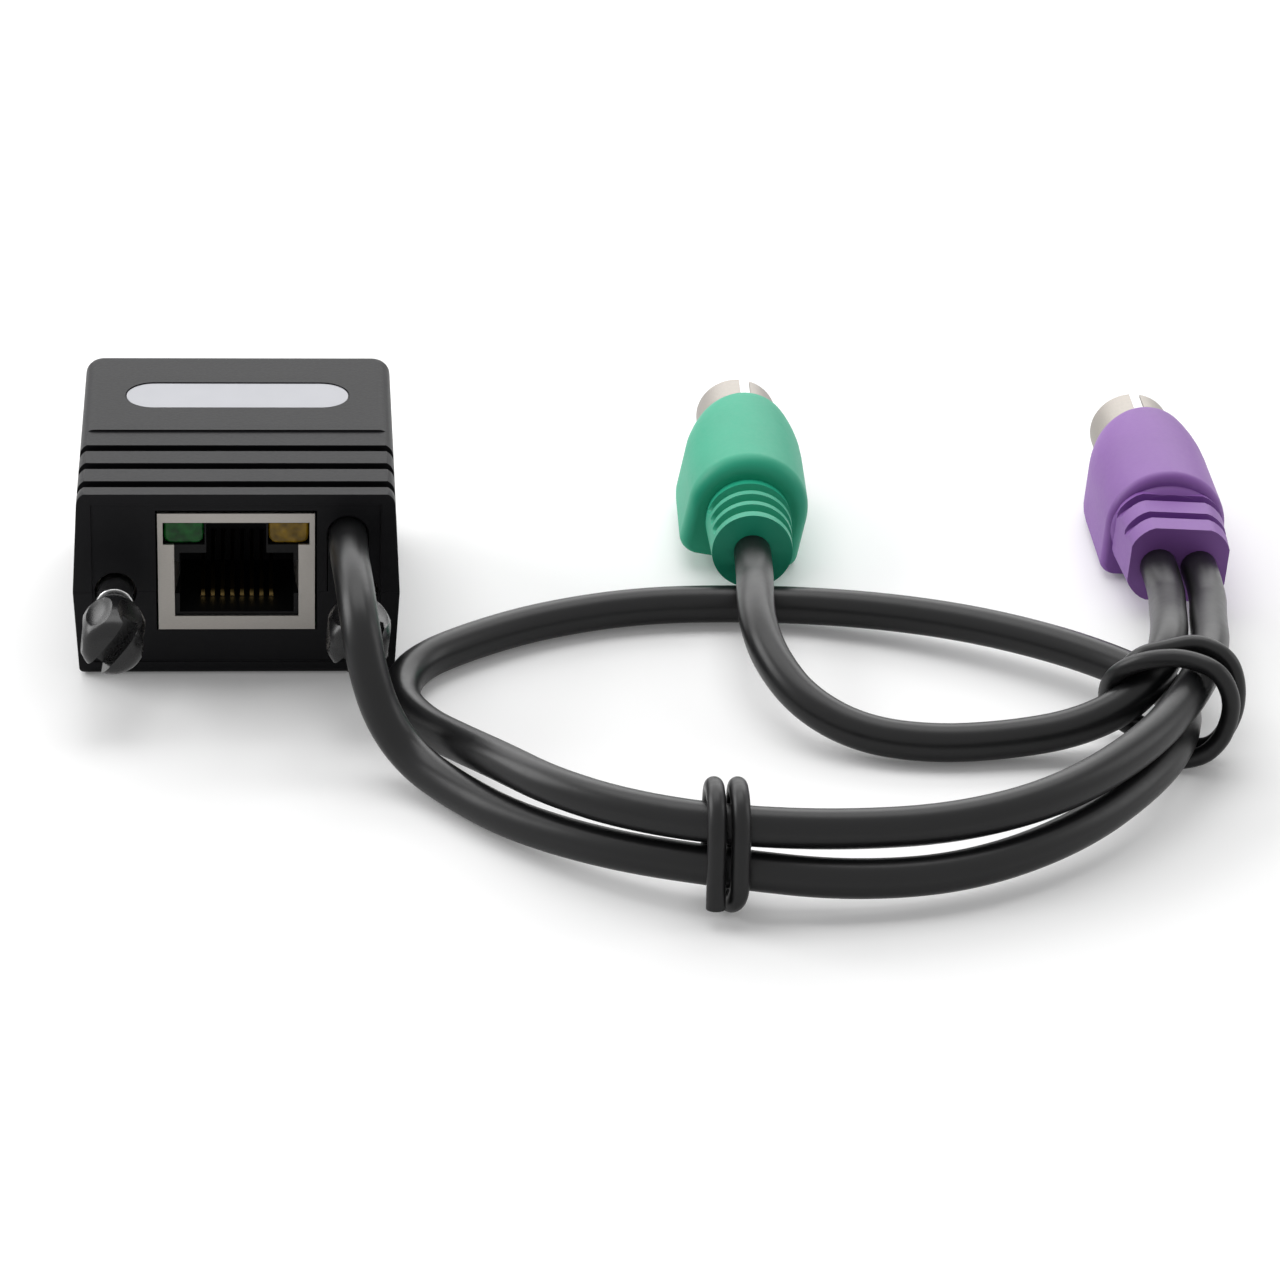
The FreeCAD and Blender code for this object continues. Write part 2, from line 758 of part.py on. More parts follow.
pins = new_body("vga_pins")
pins.AllowCompound = True
pin_front = depth + 0.5
pin_back = depth + size("shell_reach") - size("pin_short")
pin_sketch = new_sketch(pins, "Pins", "XZ_Plane", -pin_front)
pitch = size("pin_pitch")
for level in (-1, 0, 1):
    for place_number in range(5):
        shift = (place_number - 2) * pitch + pitch * (0.25 if level == 0 else -0.25)
        circle(pin_sketch, shift, parting + level * size("pin_row_pitch"), size("pin_radius"))
pad(pins, pin_sketch, pin_back - pin_front, reverse=True)
place(pins)

# Thumbscrews

ring_neck = size("shaft_radius") - 0.25
grip_front = -head_reach
collar_front = -size("collar_reach")
for side, hand in (("left", -1), ("right", 1)):
    grip = new_body("screw_grip_" + side)
    turned = new_sketch(grip, side + "GripTurned", "XY_Plane")
    core_radius = size("shaft_radius")
    outline(turned, [
        (0, grip_front),
        (size("grip_radius"), grip_front),
        (size("grip_radius"), collar_front - 2.3),
        (size("grip_neck"), collar_front - 0.7),
        (size("grip_neck"), collar_front),
        (core_radius, collar_front),
        (core_radius, grip_front + 4.0),
        (0, grip_front + 4.0),
    ])
    spin = grip.newObject("PartDesign::Revolution", side + "GripSpin")
    spin.Profile = turned
    spin.ReferenceAxis = (turned, ["V_Axis"])
    spin.Angle = 360.0
    doc.recompute()
    tip_level = grip_front.value
    grip_rim = size("grip_radius").value
    round_edges(grip, side + "Dome", size("grip_radius") - 0.4,
                lambda e: abs(e.CenterOfMass.y - tip_level) < 0.01)
    shoulder = (collar_front - 2.3).value
    round_edges(grip, side + "Shoulder", 1.0,
                lambda e: abs(e.CenterOfMass.y - shoulder) < 0.01 and e.Length > 6 * grip_rim)
    flute = new_sketch(grip, side + "Flute", "XZ_Plane", head_reach + 1.0)
    circle(flute, size("grip_radius") + size("flute_radius") - size("flute_bite"), 0, size("flute_radius"))
    one_flute = pocket(grip, flute, size("grip_length") + 1.0)
    ring_of = grip.newObject("PartDesign::PolarPattern", side + "Flutes")
    ring_of.Originals = [one_flute]
    ring_of.Axis = ([item for item in grip.Origin.OriginFeatures if item.Role == "Y_Axis"][0], [""])
    ring_of.Angle = 360.0
    ring_of.Occurrences = 6
    grip.Tip = ring_of
    doc.recompute()
    driver = new_sketch(grip, side + "Slot", "XZ_Plane", head_reach + 1.0)
    driver.AttachmentOffset = FreeCAD.Placement(Vector(0, 0, (head_reach + 1.0).value),
                                                FreeCAD.Rotation(Vector(0, 0, 1), 50.0))
    driver.setExpression("AttachmentOffset.Base.z", (head_reach + 1.0).text)
    rectangle(driver, -size("grip_radius") - 1.0, size("grip_radius") + 1.0,
              -size("grip_slot") / 2, size("grip_slot") / 2)
    pocket(grip, driver, size("grip_slot_deep") + 1.0)
    place(grip, hand * screw_x, 0, parting)

    shaft = new_body("screw_shaft_" + side)
    turned = new_sketch(shaft, side + "ShaftTurned", "XY_Plane")
    tail = depth + size("tail_reach")
    outline(turned, [
        (0, grip_front + 4.0),
        (core_radius, grip_front + 4.0),
        (core_radius, collar_front),
        (size("collar_radius"), collar_front),
        (size("collar_radius"), 1.0),
        (core_radius, 1.0),
        (core_radius, ring_front - 0.02),
        (ring_neck, ring_front - 0.02),
        (ring_neck, ring_back + 0.02),
        (core_radius, ring_back + 0.02),
        (core_radius, flange_front - 1.0),
        (size("shaft_neck"), flange_front - 1.0),
        (size("shaft_neck"), depth + 0.1),
        (size("thread_radius"), depth + 0.1),
        (size("thread_radius"), tail - 0.5),
        (size("thread_radius") - 0.5, tail),
        (0, tail),
    ])
    spin = shaft.newObject("PartDesign::Revolution", side + "ShaftSpin")
    spin.Profile = turned
    spin.ReferenceAxis = (turned, ["V_Axis"])
    spin.Angle = 360.0
    doc.recompute()
    place(shaft, hand * screw_x, 0, parting)

    washer = new_body("screw_ring_" + side)
    annulus = new_sketch(washer, side + "Annulus", "XZ_Plane", -ring_front)
    circle(annulus, 0, 0, size("ring_radius"))
    circle(annulus, 0, 0, ring_neck + 0.08)
    pad(washer, annulus, size("ring_thick"), reverse=True)
    place(washer, hand * screw_x, 0, parting)

# Cord and clamp

clamp_front = wall + 0.2
clamp_half = size("clamp_width") / 2
clamp_low = slot_z - size("clamp_height") / 2
clamp = box("cord_clamp", slot_x - clamp_half, slot_x + clamp_half,
            clamp_front, clamp_front + size("clamp_thick"),
            clamp_low, clamp_low + size("clamp_height"))
place(clamp, slot_x - clamp_half, clamp_front, clamp_low)


def tube(label, points, radius):
    """Straight runs joined by tangent arcs, swept with a round section."""
    points = [Vector(*point) for point in points]
    edges = []
    radii = []
    last = points[0]
    for before, corner, after in zip(points, points[1:], points[2:]):
        arriving = (corner - before).normalize()
        leaving = (after - corner).normalize()
        turn = arriving.getAngle(leaving)
        shorter = min((corner - before).Length, (after - corner).Length)
        reach = 0.45 * shorter
        bend = reach / math.tan(turn / 2)
        radii.append(bend)
        start = corner - arriving * reach
        end = corner + leaving * reach
        inward = (leaving - arriving).normalize()
        middle = corner + inward * (bend / math.cos(turn / 2) - bend)
        edges.append(Part.LineSegment(last, start).toShape())
        edges.append(Part.Arc(start, middle, end).toShape())
        last = end
    edges.append(Part.LineSegment(last, points[-1]).toShape())
    path = Part.Wire(edges)
    facing = (points[1] - points[0]).normalize()
    section = Part.Face(Part.Wire(Part.makeCircle(radius, points[0], facing)))
    swept = path.makePipe(section)
    if swept.ShapeType != "Solid":
        swept = swept.Solids[0]
    expected = math.pi * radius * radius * path.Length
    print("%s: length %.1f, smallest radius %.1f, volume ratio %.4f"
          % (label, path.Length, min(radii), swept.Volume / expected))
    feature = doc.addObject("Part::Feature", label)
    feature.Label = label
    feature.Shape = swept
    return feature


cord_start = (wall + 0.18).value
main_route = [
    (11.5, cord_start, 16.3), (11.5, -3.4, 16.3), (12.0, -9.8, 16.3), (12.5, -15.8, 14.8),
    (13.3, -19.1, 10.7), (14.9, -20.7, 6.2), (17.7, -23.2, 3.0), (21.8, -27.8, 2.15),
    (27.6, -34.6, 2.4), (36.6, -41.9, 3.5), (47.4, -46.8, 4.4), (59.4, -47.8, 3.4),
    (71.4, -45.6, 3.0), (82.8, -39.0, 3.3), (91.6, -29.6, 3.9), (96.4, -20.8, 4.15),
    (97.4, -12.4, 4.15), (92.6, -6.4, 4.0), (86.0, -0.8, 3.9), (77.0, 5.0, 3.4),
    (66.2, 9.4, 2.7), (54.6, 11.6, 2.15), (43.0, 11.2, 2.15), (32.6, 8.0, 2.15),
    (24.6, 3.4, 2.15), (18.4, -1.8, 2.15), (16.4, -8.6, 2.15), (19.0, -15.0, 2.4),
    (22.6, -21.4, 3.9), (26.2, -28.6, 6.0), (31.0, -35.8, 7.2), (38.0, -41.6, 7.9),
    (47.4, -45.9, 8.6), (59.0, -45.4, 7.7), (70.6, -43.4, 7.3), (81.4, -38.6, 7.6),
    (90.8, -29.8, 8.1), (96.8, -20.2, 8.4), (100.7, -10.5, 8.3), (101.95, -1.0, 7.0),
    (103.42, 6.8, 5.69), (103.38, 13.01, 5.69),
]
link_route = [
    (98.98, 12.98, 5.92), (99.02, 7.4, 5.92), (98.0, 1.0, 7.0), (97.0, -6.2, 8.4),
    (95.4, -12.6, 8.4), (91.8, -16.4, 5.7), (86.2, -17.4, 3.1), (79.0, -18.2, 2.15),
    (70.8, -19.0, 2.15), (63.6, -17.4, 2.5), (58.2, -13.6, 4.0), (55.2, -8.0, 5.9),
    (54.2, -1.8, 7.1), (54.5, 4.4, 7.2), (55.02, 9.9, 6.46), (55.17, 15.31, 6.46),
]
place(tube("main_cord", main_route, size("cord_radius").value))
place(tube("link_cord", link_route, size("cord_radius").value))

# Round plugs


def hood_outline(sketch, half, below, above):
    """Flat below, straight sides, a half circle over the top."""
    half, below, above = as_size(half), as_size(below), as_size(above)
    spring = above - half
    w, b, c = half.value, below.value, spring.value
    base = sketch.addGeometry(Part.LineSegment(Vector(-w, -b, 0), Vector(w, -b, 0)), False)
    right = sketch.addGeometry(Part.LineSegment(Vector(w, -b, 0), Vector(w, c, 0)), False)
    ring = Part.Circle(Vector(0, c, 0), Vector(0, 0, 1), w)
    arch = sketch.addGeometry(Part.ArcOfCircle(ring, 0, math.pi), False)
    left = sketch.addGeometry(Part.LineSegment(Vector(-w, c, 0), Vector(-w, -b, 0)), False)
    for one, other in ((base, right), (right, arch), (arch, left), (left, base)):
        sketch.addConstraint(Sketcher.Constraint("Coincident", one, 2, other, 1))
    pin_point(sketch, base, 1, -half, -below)
    pin_point(sketch, base, 2, half, -below)
    pin_point(sketch, right, 2, half, spring)
    pin_point(sketch, left, 1, -half, spring)
    index = sketch.addConstraint(Sketcher.Constraint("DistanceY", -1, 1, arch, 3, c))
    sketch.setExpression("Constraints[%d]" % index, spring.text)


def eight_sided(half, rise, cut):
    """A block outline with its corners cut at 45 degrees."""
    right = [(half - cut, -rise), (half, cut - rise), (half, rise - cut), (half - cut, rise)]
    left = [(-x, y) for x, y in reversed(right)]
    return right + left


def place_turned(feature, at, yaw, roll):
    spin = FreeCAD.Rotation(Vector(0, 0, 1), yaw) * FreeCAD.Rotation(Vector(0, 1, 0), roll)
    feature.Placement = FreeCAD.Placement(Vector(*at), spin)
    place(feature, *at)


relief = size("relief_length")
hood_back = relief
hood_front = relief + size("hood_length")
plug_tip = hood_front + size("tube_reach")


def round_plug(name, at, yaw, roll, twin):
    """A moulded hood whose strain relief ends at the plug's own origin."""
    hood = new_body(name + "_body")
    half = size("hood_half_width")
    below = size("hood_below")
    above = size("hood_above")
    rear = new_sketch(hood, name + "Rear", "XZ_Plane", -hood_back)
    hood_outline(rear, half, below, above)
    pad(hood, rear, size("hood_length"), reverse=True)
    back_value, front_value = hood_back.value, hood_front.value
    middle_value = (back_value + front_value) / 2
    foot = -below.value
    round_edges(hood, name + "Feet", size("hood_round"),
                lambda e: abs(e.CenterOfMass.y - middle_value) < 0.5 and e.CenterOfMass.z < foot + 0.5)
    round_edges(hood, name + "Ends", size("hood_round"),
                lambda e: min(abs(e.CenterOfMass.y - back_value),
                              abs(e.CenterOfMass.y - front_value)) < 0.3)
    stem = new_sketch(hood, name + "Stem", "XZ_Plane", 0.0)
    groove_count = 2 if twin else 3
    bite = size("rib_bite")
    if twin:
        wide_half = size("relief_width") / 2
        tall_half = size("relief_height") / 2
        corner = size("relief_corner")
        outline(stem, eight_sided(wide_half, tall_half, corner))
    else:
        circle(stem, 0, 0, size("relief_radius"))
    pad(hood, stem, relief + 1.0, reverse=True)
    pitch = relief / (groove_count + 0.5)
    for number in range(groove_count):
        ring = new_sketch(hood, name + "Rib%d" % (number + 1), "XZ_Plane", -(pitch * (number + 0.7)))
        if twin:
            outline(ring, eight_sided(wide_half + 2.0, tall_half + 2.0, corner))
            outline(ring, eight_sided(wide_half - bite, tall_half - bite, corner - bite * 0.4))
        else:
            circle(ring, 0, 0, size("relief_radius") + 2.0)
            circle(ring, 0, 0, size("relief_radius") - bite)
        pocket(hood, ring, pitch * 0.42)
    place_turned(hood, at, yaw, roll)

    can_body = new_body(name + "_shell")
    ring = new_sketch(can_body, name + "Tube", "XZ_Plane", -hood_front)
    tube_radius = size("tube_radius")
    circle(ring, 0, 0, tube_radius)
    circle(ring, 0, 0, tube_radius - size("tube_wall"))
    pad(can_body, ring, size("tube_reach"), reverse=True)
    key = new_sketch(can_body, name + "Key", "XZ_Plane", -(hood_front + 1.0))
    rectangle(key, -0.6, 0.6, tube_radius - size("tube_wall") - 0.5, tube_radius + 0.5)
    pocket(can_body, key, size("tube_reach"))
    place_turned(can_body, at, yaw, roll)

    disc = new_body(name + "_insert")
    base = new_sketch(disc, name + "Disc", "XZ_Plane", -hood_front)
    circle(base, 0, 0, tube_radius - size("tube_wall") - size("disc_gap"))
    pad(disc, base, size("disc_thick"), reverse=True)
    peg = new_sketch(disc, name + "Peg", "XZ_Plane", -hood_front)
    rectangle(peg, -1.1, 1.1, -2.3, -1.1)
    pad(disc, peg, size("tube_reach") - 1.0, reverse=True)
    place_turned(disc, at, yaw, roll)

    prongs = new_body(name + "_pins")
    prongs.AllowCompound = True
    base = new_sketch(prongs, name + "Prongs", "XZ_Plane", -(hood_front + size("disc_thick")))
    for x, z in ((-3.2, 0.8), (-2.6, -1.6), (-1.3, 2.6), (1.3, 2.6), (3.2, 0.8), (2.6, -1.6)):
        circle(base, x, z, size("prong_radius"))
    pad(prongs, base, size("tube_reach") - size("disc_thick") - 1.0, reverse=True)
    place_turned(prongs, at, yaw, roll)


round_plug("mouse_plug", (55.17, 15.31, 6.46), -1.6, 10.0, twin=False)
round_plug("keyboard_plug", (101.18, 13.0, 5.8), 0.4, 3.0, twin=True)

# Ties

tie_radius = size("tie_radius").value
front_tie_route = [
    (46.3, -50.1, 1.8), (46.3, -48.2, 11.7), (46.3, -41.15, 11.7), (46.3, -42.85, 1.05),
    (48.6, -50.45, 1.05), (48.6, -48.25, 11.7), (48.6, -41.2, 11.7), (48.6, -42.9, 1.8),
]
rear_tie_route = [
    (91.2, -11.7, 3.0), (91.0, -11.7, 11.8), (102.4, -17.4, 12.2), (102.0, -17.4, 1.05),
    (89.5, -13.5, 1.05), (89.5, -13.4, 11.2), (100.6, -21.2, 12.2), (100.4, -21.2, 1.05),
    (97.4, -22.6, 1.05),
]
place(tube("front_tie", front_tie_route, tie_radius))
place(tube("rear_tie", rear_tie_route, tie_radius))

# Finish

doc.recompute()
for item in doc.Objects:
    if "Invalid" in item.State or "Error" in item.State:
        raise RuntimeError("%s failed: %s" % (item.Name, item.State))
os.makedirs("parts", exist_ok=True)
for piece in pieces:
    if piece.Shape.isNull() or not piece.Shape.isValid():
        raise RuntimeError("%s has no valid shape" % piece.Label)
for piece in pieces:
    piece.Shape.exportStep("parts/%s.step" % piece.Label)
    box_now = piece.Shape.BoundBox
    print("%-20s solids %d volume %9.1f z %.2f..%.2f" % (
        piece.Label, len(piece.Shape.Solids), piece.Shape.Volume, box_now.ZMin, box_now.ZMax))
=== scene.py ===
"""Inline KVM dongle: the looks of its moulded housing, jack, plugs and cords."""
import math

import bmesh
import bpy
from mathutils import Matrix, Vector


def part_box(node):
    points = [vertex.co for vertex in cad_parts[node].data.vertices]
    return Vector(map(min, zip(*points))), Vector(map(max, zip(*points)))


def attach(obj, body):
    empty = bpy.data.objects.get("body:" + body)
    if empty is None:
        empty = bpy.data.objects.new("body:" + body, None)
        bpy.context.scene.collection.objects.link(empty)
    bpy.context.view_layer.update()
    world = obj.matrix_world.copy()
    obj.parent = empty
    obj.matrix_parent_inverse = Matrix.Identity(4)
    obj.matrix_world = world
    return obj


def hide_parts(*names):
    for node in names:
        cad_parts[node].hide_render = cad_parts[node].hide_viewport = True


bl_info = {
    "name": "Inline KVM Dongle",
    "version": (1, 0, 0),
    "blender": (4, 5, 0),
    "location": "View3D > Sidebar > Dongle",
    "description": "Dresses a KVM dongle: housing, network jack, video plug, cords and round plugs",
    "category": "Object",
}

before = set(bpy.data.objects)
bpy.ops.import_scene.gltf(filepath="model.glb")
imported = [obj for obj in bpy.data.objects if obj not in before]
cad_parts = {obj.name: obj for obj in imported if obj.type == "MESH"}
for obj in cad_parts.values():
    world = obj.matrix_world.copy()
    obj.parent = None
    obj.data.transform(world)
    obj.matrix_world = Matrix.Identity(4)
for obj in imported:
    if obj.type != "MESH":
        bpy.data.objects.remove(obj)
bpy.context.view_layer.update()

MM = 0.001
# the drawing's zero is the middle of the housing's front face, on the floor
FRONT_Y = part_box("lower_shell")[0].y


def at(x, y, z):
    """A point of the drawing, in millimetres from the front face, as a place in the frame."""
    return Vector((x * MM, FRONT_Y + y * MM, z * MM))


def linear(text, alpha=1.0):
    """An sRGB hex colour as linear red, green, blue and alpha."""
    channels = []
    for start in (1, 3, 5):
        part = int(text[start:start + 2], 16) / 255
        channels.append(part / 12.92 if part <= 0.04045 else ((part + 0.055) / 1.055) ** 2.4)
    return (*channels, alpha)


# Settings


class HousingSettings(bpy.types.PropertyGroup):
    plastic: bpy.props.FloatVectorProperty(
        name="Housing", description="Colour of the moulded housing", subtype="COLOR",
        size=4, min=0, max=1, default=linear("#131315"))
    label: bpy.props.FloatVectorProperty(
        name="Label", description="Colour of the bare label plate", subtype="COLOR",
        size=4, min=0, max=1, default=linear("#9d9ea4"))
    grain: bpy.props.FloatProperty(
        name="Grain", description="Width of the spark-eroded grain", unit="LENGTH", default=0.35 * MM)


class CordSettings(bpy.types.PropertyGroup):
    jacket: bpy.props.FloatVectorProperty(
        name="Jacket", description="Colour of the cord jacket", subtype="COLOR",
        size=4, min=0, max=1, default=linear("#131314"))
    diameter: bpy.props.FloatProperty(
        name="Cord", description="Diameter of the cords", unit="LENGTH", default=4.0 * MM)
    tie: bpy.props.FloatProperty(
        name="Tie", description="Diameter of the wire ties", unit="LENGTH", default=1.9 * MM)


class PlugSettings(bpy.types.PropertyGroup):
    keyboard: bpy.props.FloatVectorProperty(
        name="Keyboard", description="Colour of the keyboard plug's hood", subtype="COLOR",
        size=4, min=0, max=1, default=linear("#7a4c96"))
    mouse: bpy.props.FloatVectorProperty(
        name="Mouse", description="Colour of the mouse plug's hood", subtype="COLOR",
        size=4, min=0, max=1, default=linear("#129a78"))


# Materials

CONTACT_TIP = 7.6       # the jack's contacts are gold below this height and painted dark with shade above it, in millimetres
CONTACT_BLEND = 0.4     # height over which the gold gives way to nickel painted dark with shade


def add_node(tree, kind, values=None, links=None, **settings):
    """Add a node, set what is given and link what feeds it."""
    node = tree.nodes.new(kind)
    for name, value in settings.items():
        setattr(node, name, value)
    for socket, value in (values or {}).items():
        node.inputs[socket].default_value = value
    for socket, source in (links or {}).items():
        tree.links.new(source, node.inputs[socket])
    return node


def new_material(name):
    material = bpy.data.materials.new(name)
    material.use_nodes = True
    material.node_tree.nodes.clear()
    return material, material.node_tree


def close(tree, shader):
    add_node(tree, "ShaderNodeOutputMaterial", links={"Surface": shader.outputs[0]})


def moulded_plastic(name, colour, roughness, grain_mm, depth_mm, ior=1.5, mottle=0.15):
    """Injection-moulded plastic: fine spark-eroded grain and a faint tone change."""
    material, tree = new_material(name)
    place = add_node(tree, "ShaderNodeTexCoord")
    cloud = add_node(tree, "ShaderNodeTexNoise", {"Scale": 1 / (9 * MM), "Detail": 3.0},
                     {"Vector": place.outputs["Object"]})
    darker = [channel * (1 - mottle) for channel in colour[:3]] + [1.0]
    lighter = [min(1.0, channel * (1 + mottle)) for channel in colour[:3]] + [1.0]
    tone = add_node(tree, "ShaderNodeValToRGB", links={"Fac": cloud.outputs["Fac"]})
    tone.color_ramp.elements[0].position = 0.3
    tone.color_ramp.elements[0].color = darker
    tone.color_ramp.elements[1].position = 0.7
    tone.color_ramp.elements[1].color = lighter
    grain = add_node(tree, "ShaderNodeTexNoise", {"Scale": 1 / (grain_mm * MM), "Detail": 2.0},
                     {"Vector": place.outputs["Object"]})
    bump = add_node(tree, "ShaderNodeBump", {"Strength": 0.5, "Distance": depth_mm * MM},
                    {"Height": grain.outputs["Fac"]})
    rough = add_node(tree, "ShaderNodeMapRange",
                     {"To Min": roughness - 0.05, "To Max": roughness + 0.05},
                     {"Value": grain.outputs["Fac"]})
    shader = add_node(tree, "ShaderNodeBsdfPrincipled", {"IOR": ior},
                      {"Base Color": tone.outputs["Color"], "Roughness": rough.outputs["Result"],
                       "Normal": bump.outputs["Normal"]})
    close(tree, shader)
    return material


def plated_metal(name, colour, roughness, streak_mm, stretch):
    """Plated or brushed sheet: streaks along one direction break up the gloss."""
    material, tree = new_material(name)
    place = add_node(tree, "ShaderNodeTexCoord")
    turn = add_node(tree, "ShaderNodeMapping", {"Scale": stretch}, {"Vector": place.outputs["Object"]})
    streak = add_node(tree, "ShaderNodeTexNoise", {"Scale": 1 / (streak_mm * MM), "Detail": 4.0},
                      {"Vector": turn.outputs["Vector"]})
    rough = add_node(tree, "ShaderNodeMapRange",
                     {"To Min": roughness - 0.06, "To Max": roughness + 0.1},
                     {"Value": streak.outputs["Fac"]})
    ramp = add_node(tree, "ShaderNodeValToRGB", links={"Fac": streak.outputs["Fac"]})
    ramp.color_ramp.elements[0].color = [channel * 0.8 for channel in colour[:3]] + [1.0]
    ramp.color_ramp.elements[1].color = [min(1.0, channel * 1.1) for channel in colour[:3]] + [1.0]
    shader = add_node(tree, "ShaderNodeBsdfPrincipled", {"Metallic": 1.0},
                      {"Base Color": ramp.outputs["Color"], "Roughness": rough.outputs["Result"]})
    close(tree, shader)
    return material


def gold_tip_painted_shade_contact(name, wire, tip):
    """Spring contacts: gold only where the plug touches, and above that nickel wire painted dark with the
    shade it lies in.
    """
    material, tree = new_material(name)
    place = add_node(tree, "ShaderNodeTexCoord")
    parts = add_node(tree, "ShaderNodeSeparateXYZ", links={"Vector": place.outputs["Object"]})
    height = add_node(tree, "ShaderNodeMapRange",
                      {"From Min": CONTACT_TIP * MM, "From Max": (CONTACT_TIP + CONTACT_BLEND) * MM},
                      {"Value": parts.outputs["Z"]})
    ramp = add_node(tree, "ShaderNodeValToRGB", links={"Fac": height.outputs["Result"]})
    ramp.color_ramp.elements[0].color = tip
    # the wire colour is nickel painted dark with the shade inside the jack
    ramp.color_ramp.elements[1].color = wire
    shader = add_node(tree, "ShaderNodeBsdfPrincipled", {"Metallic": 1.0, "Roughness": 0.3},
                      {"Base Color": ramp.outputs["Color"]})
    close(tree, shader)
    return material


def lamp_lens(name, colour):
    """Moulded lens of an unlit lamp: tinted and glossy, with a cloudy depth."""
    material, tree = new_material(name)
    place = add_node(tree, "ShaderNodeTexCoord")
    cloud = add_node(tree, "ShaderNodeTexNoise", {"Scale": 1 / (1.1 * MM), "Detail": 1.0},
                     {"Vector": place.outputs["Object"]})
    ramp = add_node(tree, "ShaderNodeValToRGB", links={"Fac": cloud.outputs["Fac"]})
    ramp.color_ramp.elements[0].position = 0.35
    ramp.color_ramp.elements[0].color = [channel * 0.45 for channel in colour[:3]] + [1.0]
    ramp.color_ramp.elements[1].position = 0.68
    ramp.color_ramp.elements[1].color = colour
    facets = add_node(tree, "ShaderNodeBump", {"Strength": 1.0, "Distance": 0.22 * MM},
                      {"Height": cloud.outputs["Fac"]})
    shader = add_node(tree, "ShaderNodeBsdfPrincipled", {"Roughness": 0.12, "IOR": 1.3},
                      {"Base Color": ramp.outputs["Color"], "Normal": facets.outputs["Normal"]})
    close(tree, shader)
    return material


def dress(node, material):
    """Give a CAD node its finish."""
    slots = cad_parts[node].data.materials
    slots.clear()
    slots.append(material)


def select_only(item):
    bpy.ops.object.select_all(action="DESELECT")
    item.select_set(True)
    bpy.context.view_layer.objects.active = item


def even_shading(piece):
    """Smooth shading that keeps the large flat faces flat."""
    select_only(piece)
    bpy.ops.object.shade_smooth()
    weigh = piece.modifiers.new("Even", "WEIGHTED_NORMAL")
    weigh.weight = 100
    weigh.keep_sharp = True
    bpy.ops.object.modifier_apply(modifier=weigh.name)


def finish(piece, body, slot, material, *nodes):
    """Give a piece its finish, its body and the nodes that it stands for."""
    piece.data.materials.clear()
    piece.data.materials.append(material)
    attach(piece, body)
    if nodes:
        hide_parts(*nodes)


def softened(node, name, body, slot, material, width, angle=28.0, segments=3):
    """A copy of a CAD node with its small edge rounds, which replaces it."""
    piece = bpy.data.objects.new(name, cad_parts[node].data.copy())
    bpy.context.scene.collection.objects.link(piece)
    select_only(piece)
    bpy.ops.object.mode_set(mode="EDIT")
    bpy.ops.mesh.select_all(action="SELECT")
    bpy.ops.mesh.remove_doubles(threshold=0.004 * MM)
    bpy.ops.mesh.dissolve_limited(angle_limit=math.radians(0.6))
    bpy.ops.object.mode_set(mode="OBJECT")
    edge = piece.modifiers.new("Edge", "BEVEL")
    edge.width = width
    edge.segments = segments
    edge.limit_method = "ANGLE"
    edge.angle_limit = math.radians(angle)
    edge.use_clamp_overlap = True
    bpy.ops.object.modifier_apply(modifier=edge.name)
    even_shading(piece)
    finish(piece, body, slot, material, node)
    return piece


def turned(name, middle, profile, segments):
    """A lathe-turned piece along Y: a ring is extruded and scaled down the profile.

    middle is the axis as x and z in millimetres; profile lists radius and y.
    """
    first_radius, first_y = profile[0]
    bpy.ops.object.select_all(action="DESELECT")
    bpy.ops.mesh.primitive_circle_add(
        vertices=segments, radius=first_radius * MM, fill_type="NGON",
        location=at(middle[0], first_y, middle[1]), rotation=(math.pi / 2, 0, 0))
    piece = bpy.context.object
    piece.name = name
    bpy.ops.object.transform_apply(location=True, rotation=True, scale=True)
    bpy.ops.object.mode_set(mode="EDIT")
    bpy.ops.mesh.select_all(action="SELECT")
    radius, place = first_radius, first_y
    for next_radius, next_place in profile[1:]:
        bpy.ops.mesh.extrude_region_move(
            TRANSFORM_OT_translate={"value": (0, (next_place - place) * MM, 0)})
        share = next_radius / radius
        bpy.ops.transform.resize(
            value=(share, 1, share), center_override=at(middle[0], next_place, middle[1]))
        radius, place = next_radius, next_place
    bpy.ops.mesh.select_all(action="SELECT")
    bpy.ops.mesh.normals_make_consistent(inside=False)
    bpy.ops.object.mode_set(mode="OBJECT")
    return piece


def select_places(piece, wanted):
    """Select the vertices whose place passes a test, in edit mode."""
    bpy.ops.object.mode_set(mode="EDIT")
    bpy.ops.mesh.select_mode(type="VERT")
    bpy.ops.mesh.select_all(action="DESELECT")
    mesh = bmesh.from_edit_mesh(piece.data)
    found = 0
    for vertex in mesh.verts:
        if wanted(vertex.co):
            vertex.select = True
            found += 1
    mesh.select_flush_mode()
    bmesh.update_edit_mesh(piece.data)
    return found


def cut_away(piece, tool):
    """Take a tool's shape out of a piece."""
    select_only(piece)
    cut = piece.modifiers.new("Cut", "BOOLEAN")
    cut.operation = "DIFFERENCE"
    cut.solver = "EXACT"
    cut.object = tool
    bpy.ops.object.modifier_apply(modifier=cut.name)
    bpy.data.objects.remove(tool)


# Stage

VIEW_FROM = (5.28, -450.36, 249.31)     # the fitted camera's place on the drawing
VIEW_TURN = (28.497, 4.68, 2.097)       # its pitch, heading and roll, in degrees
VIEW_LENS = 137.8                       # on a 36 mm sensor
FLOOR_LIFT = 0.1                        # glow that keeps the seen floor near white
SOFT_WORLD = 0.36                       # strength of the light that the object gets all round


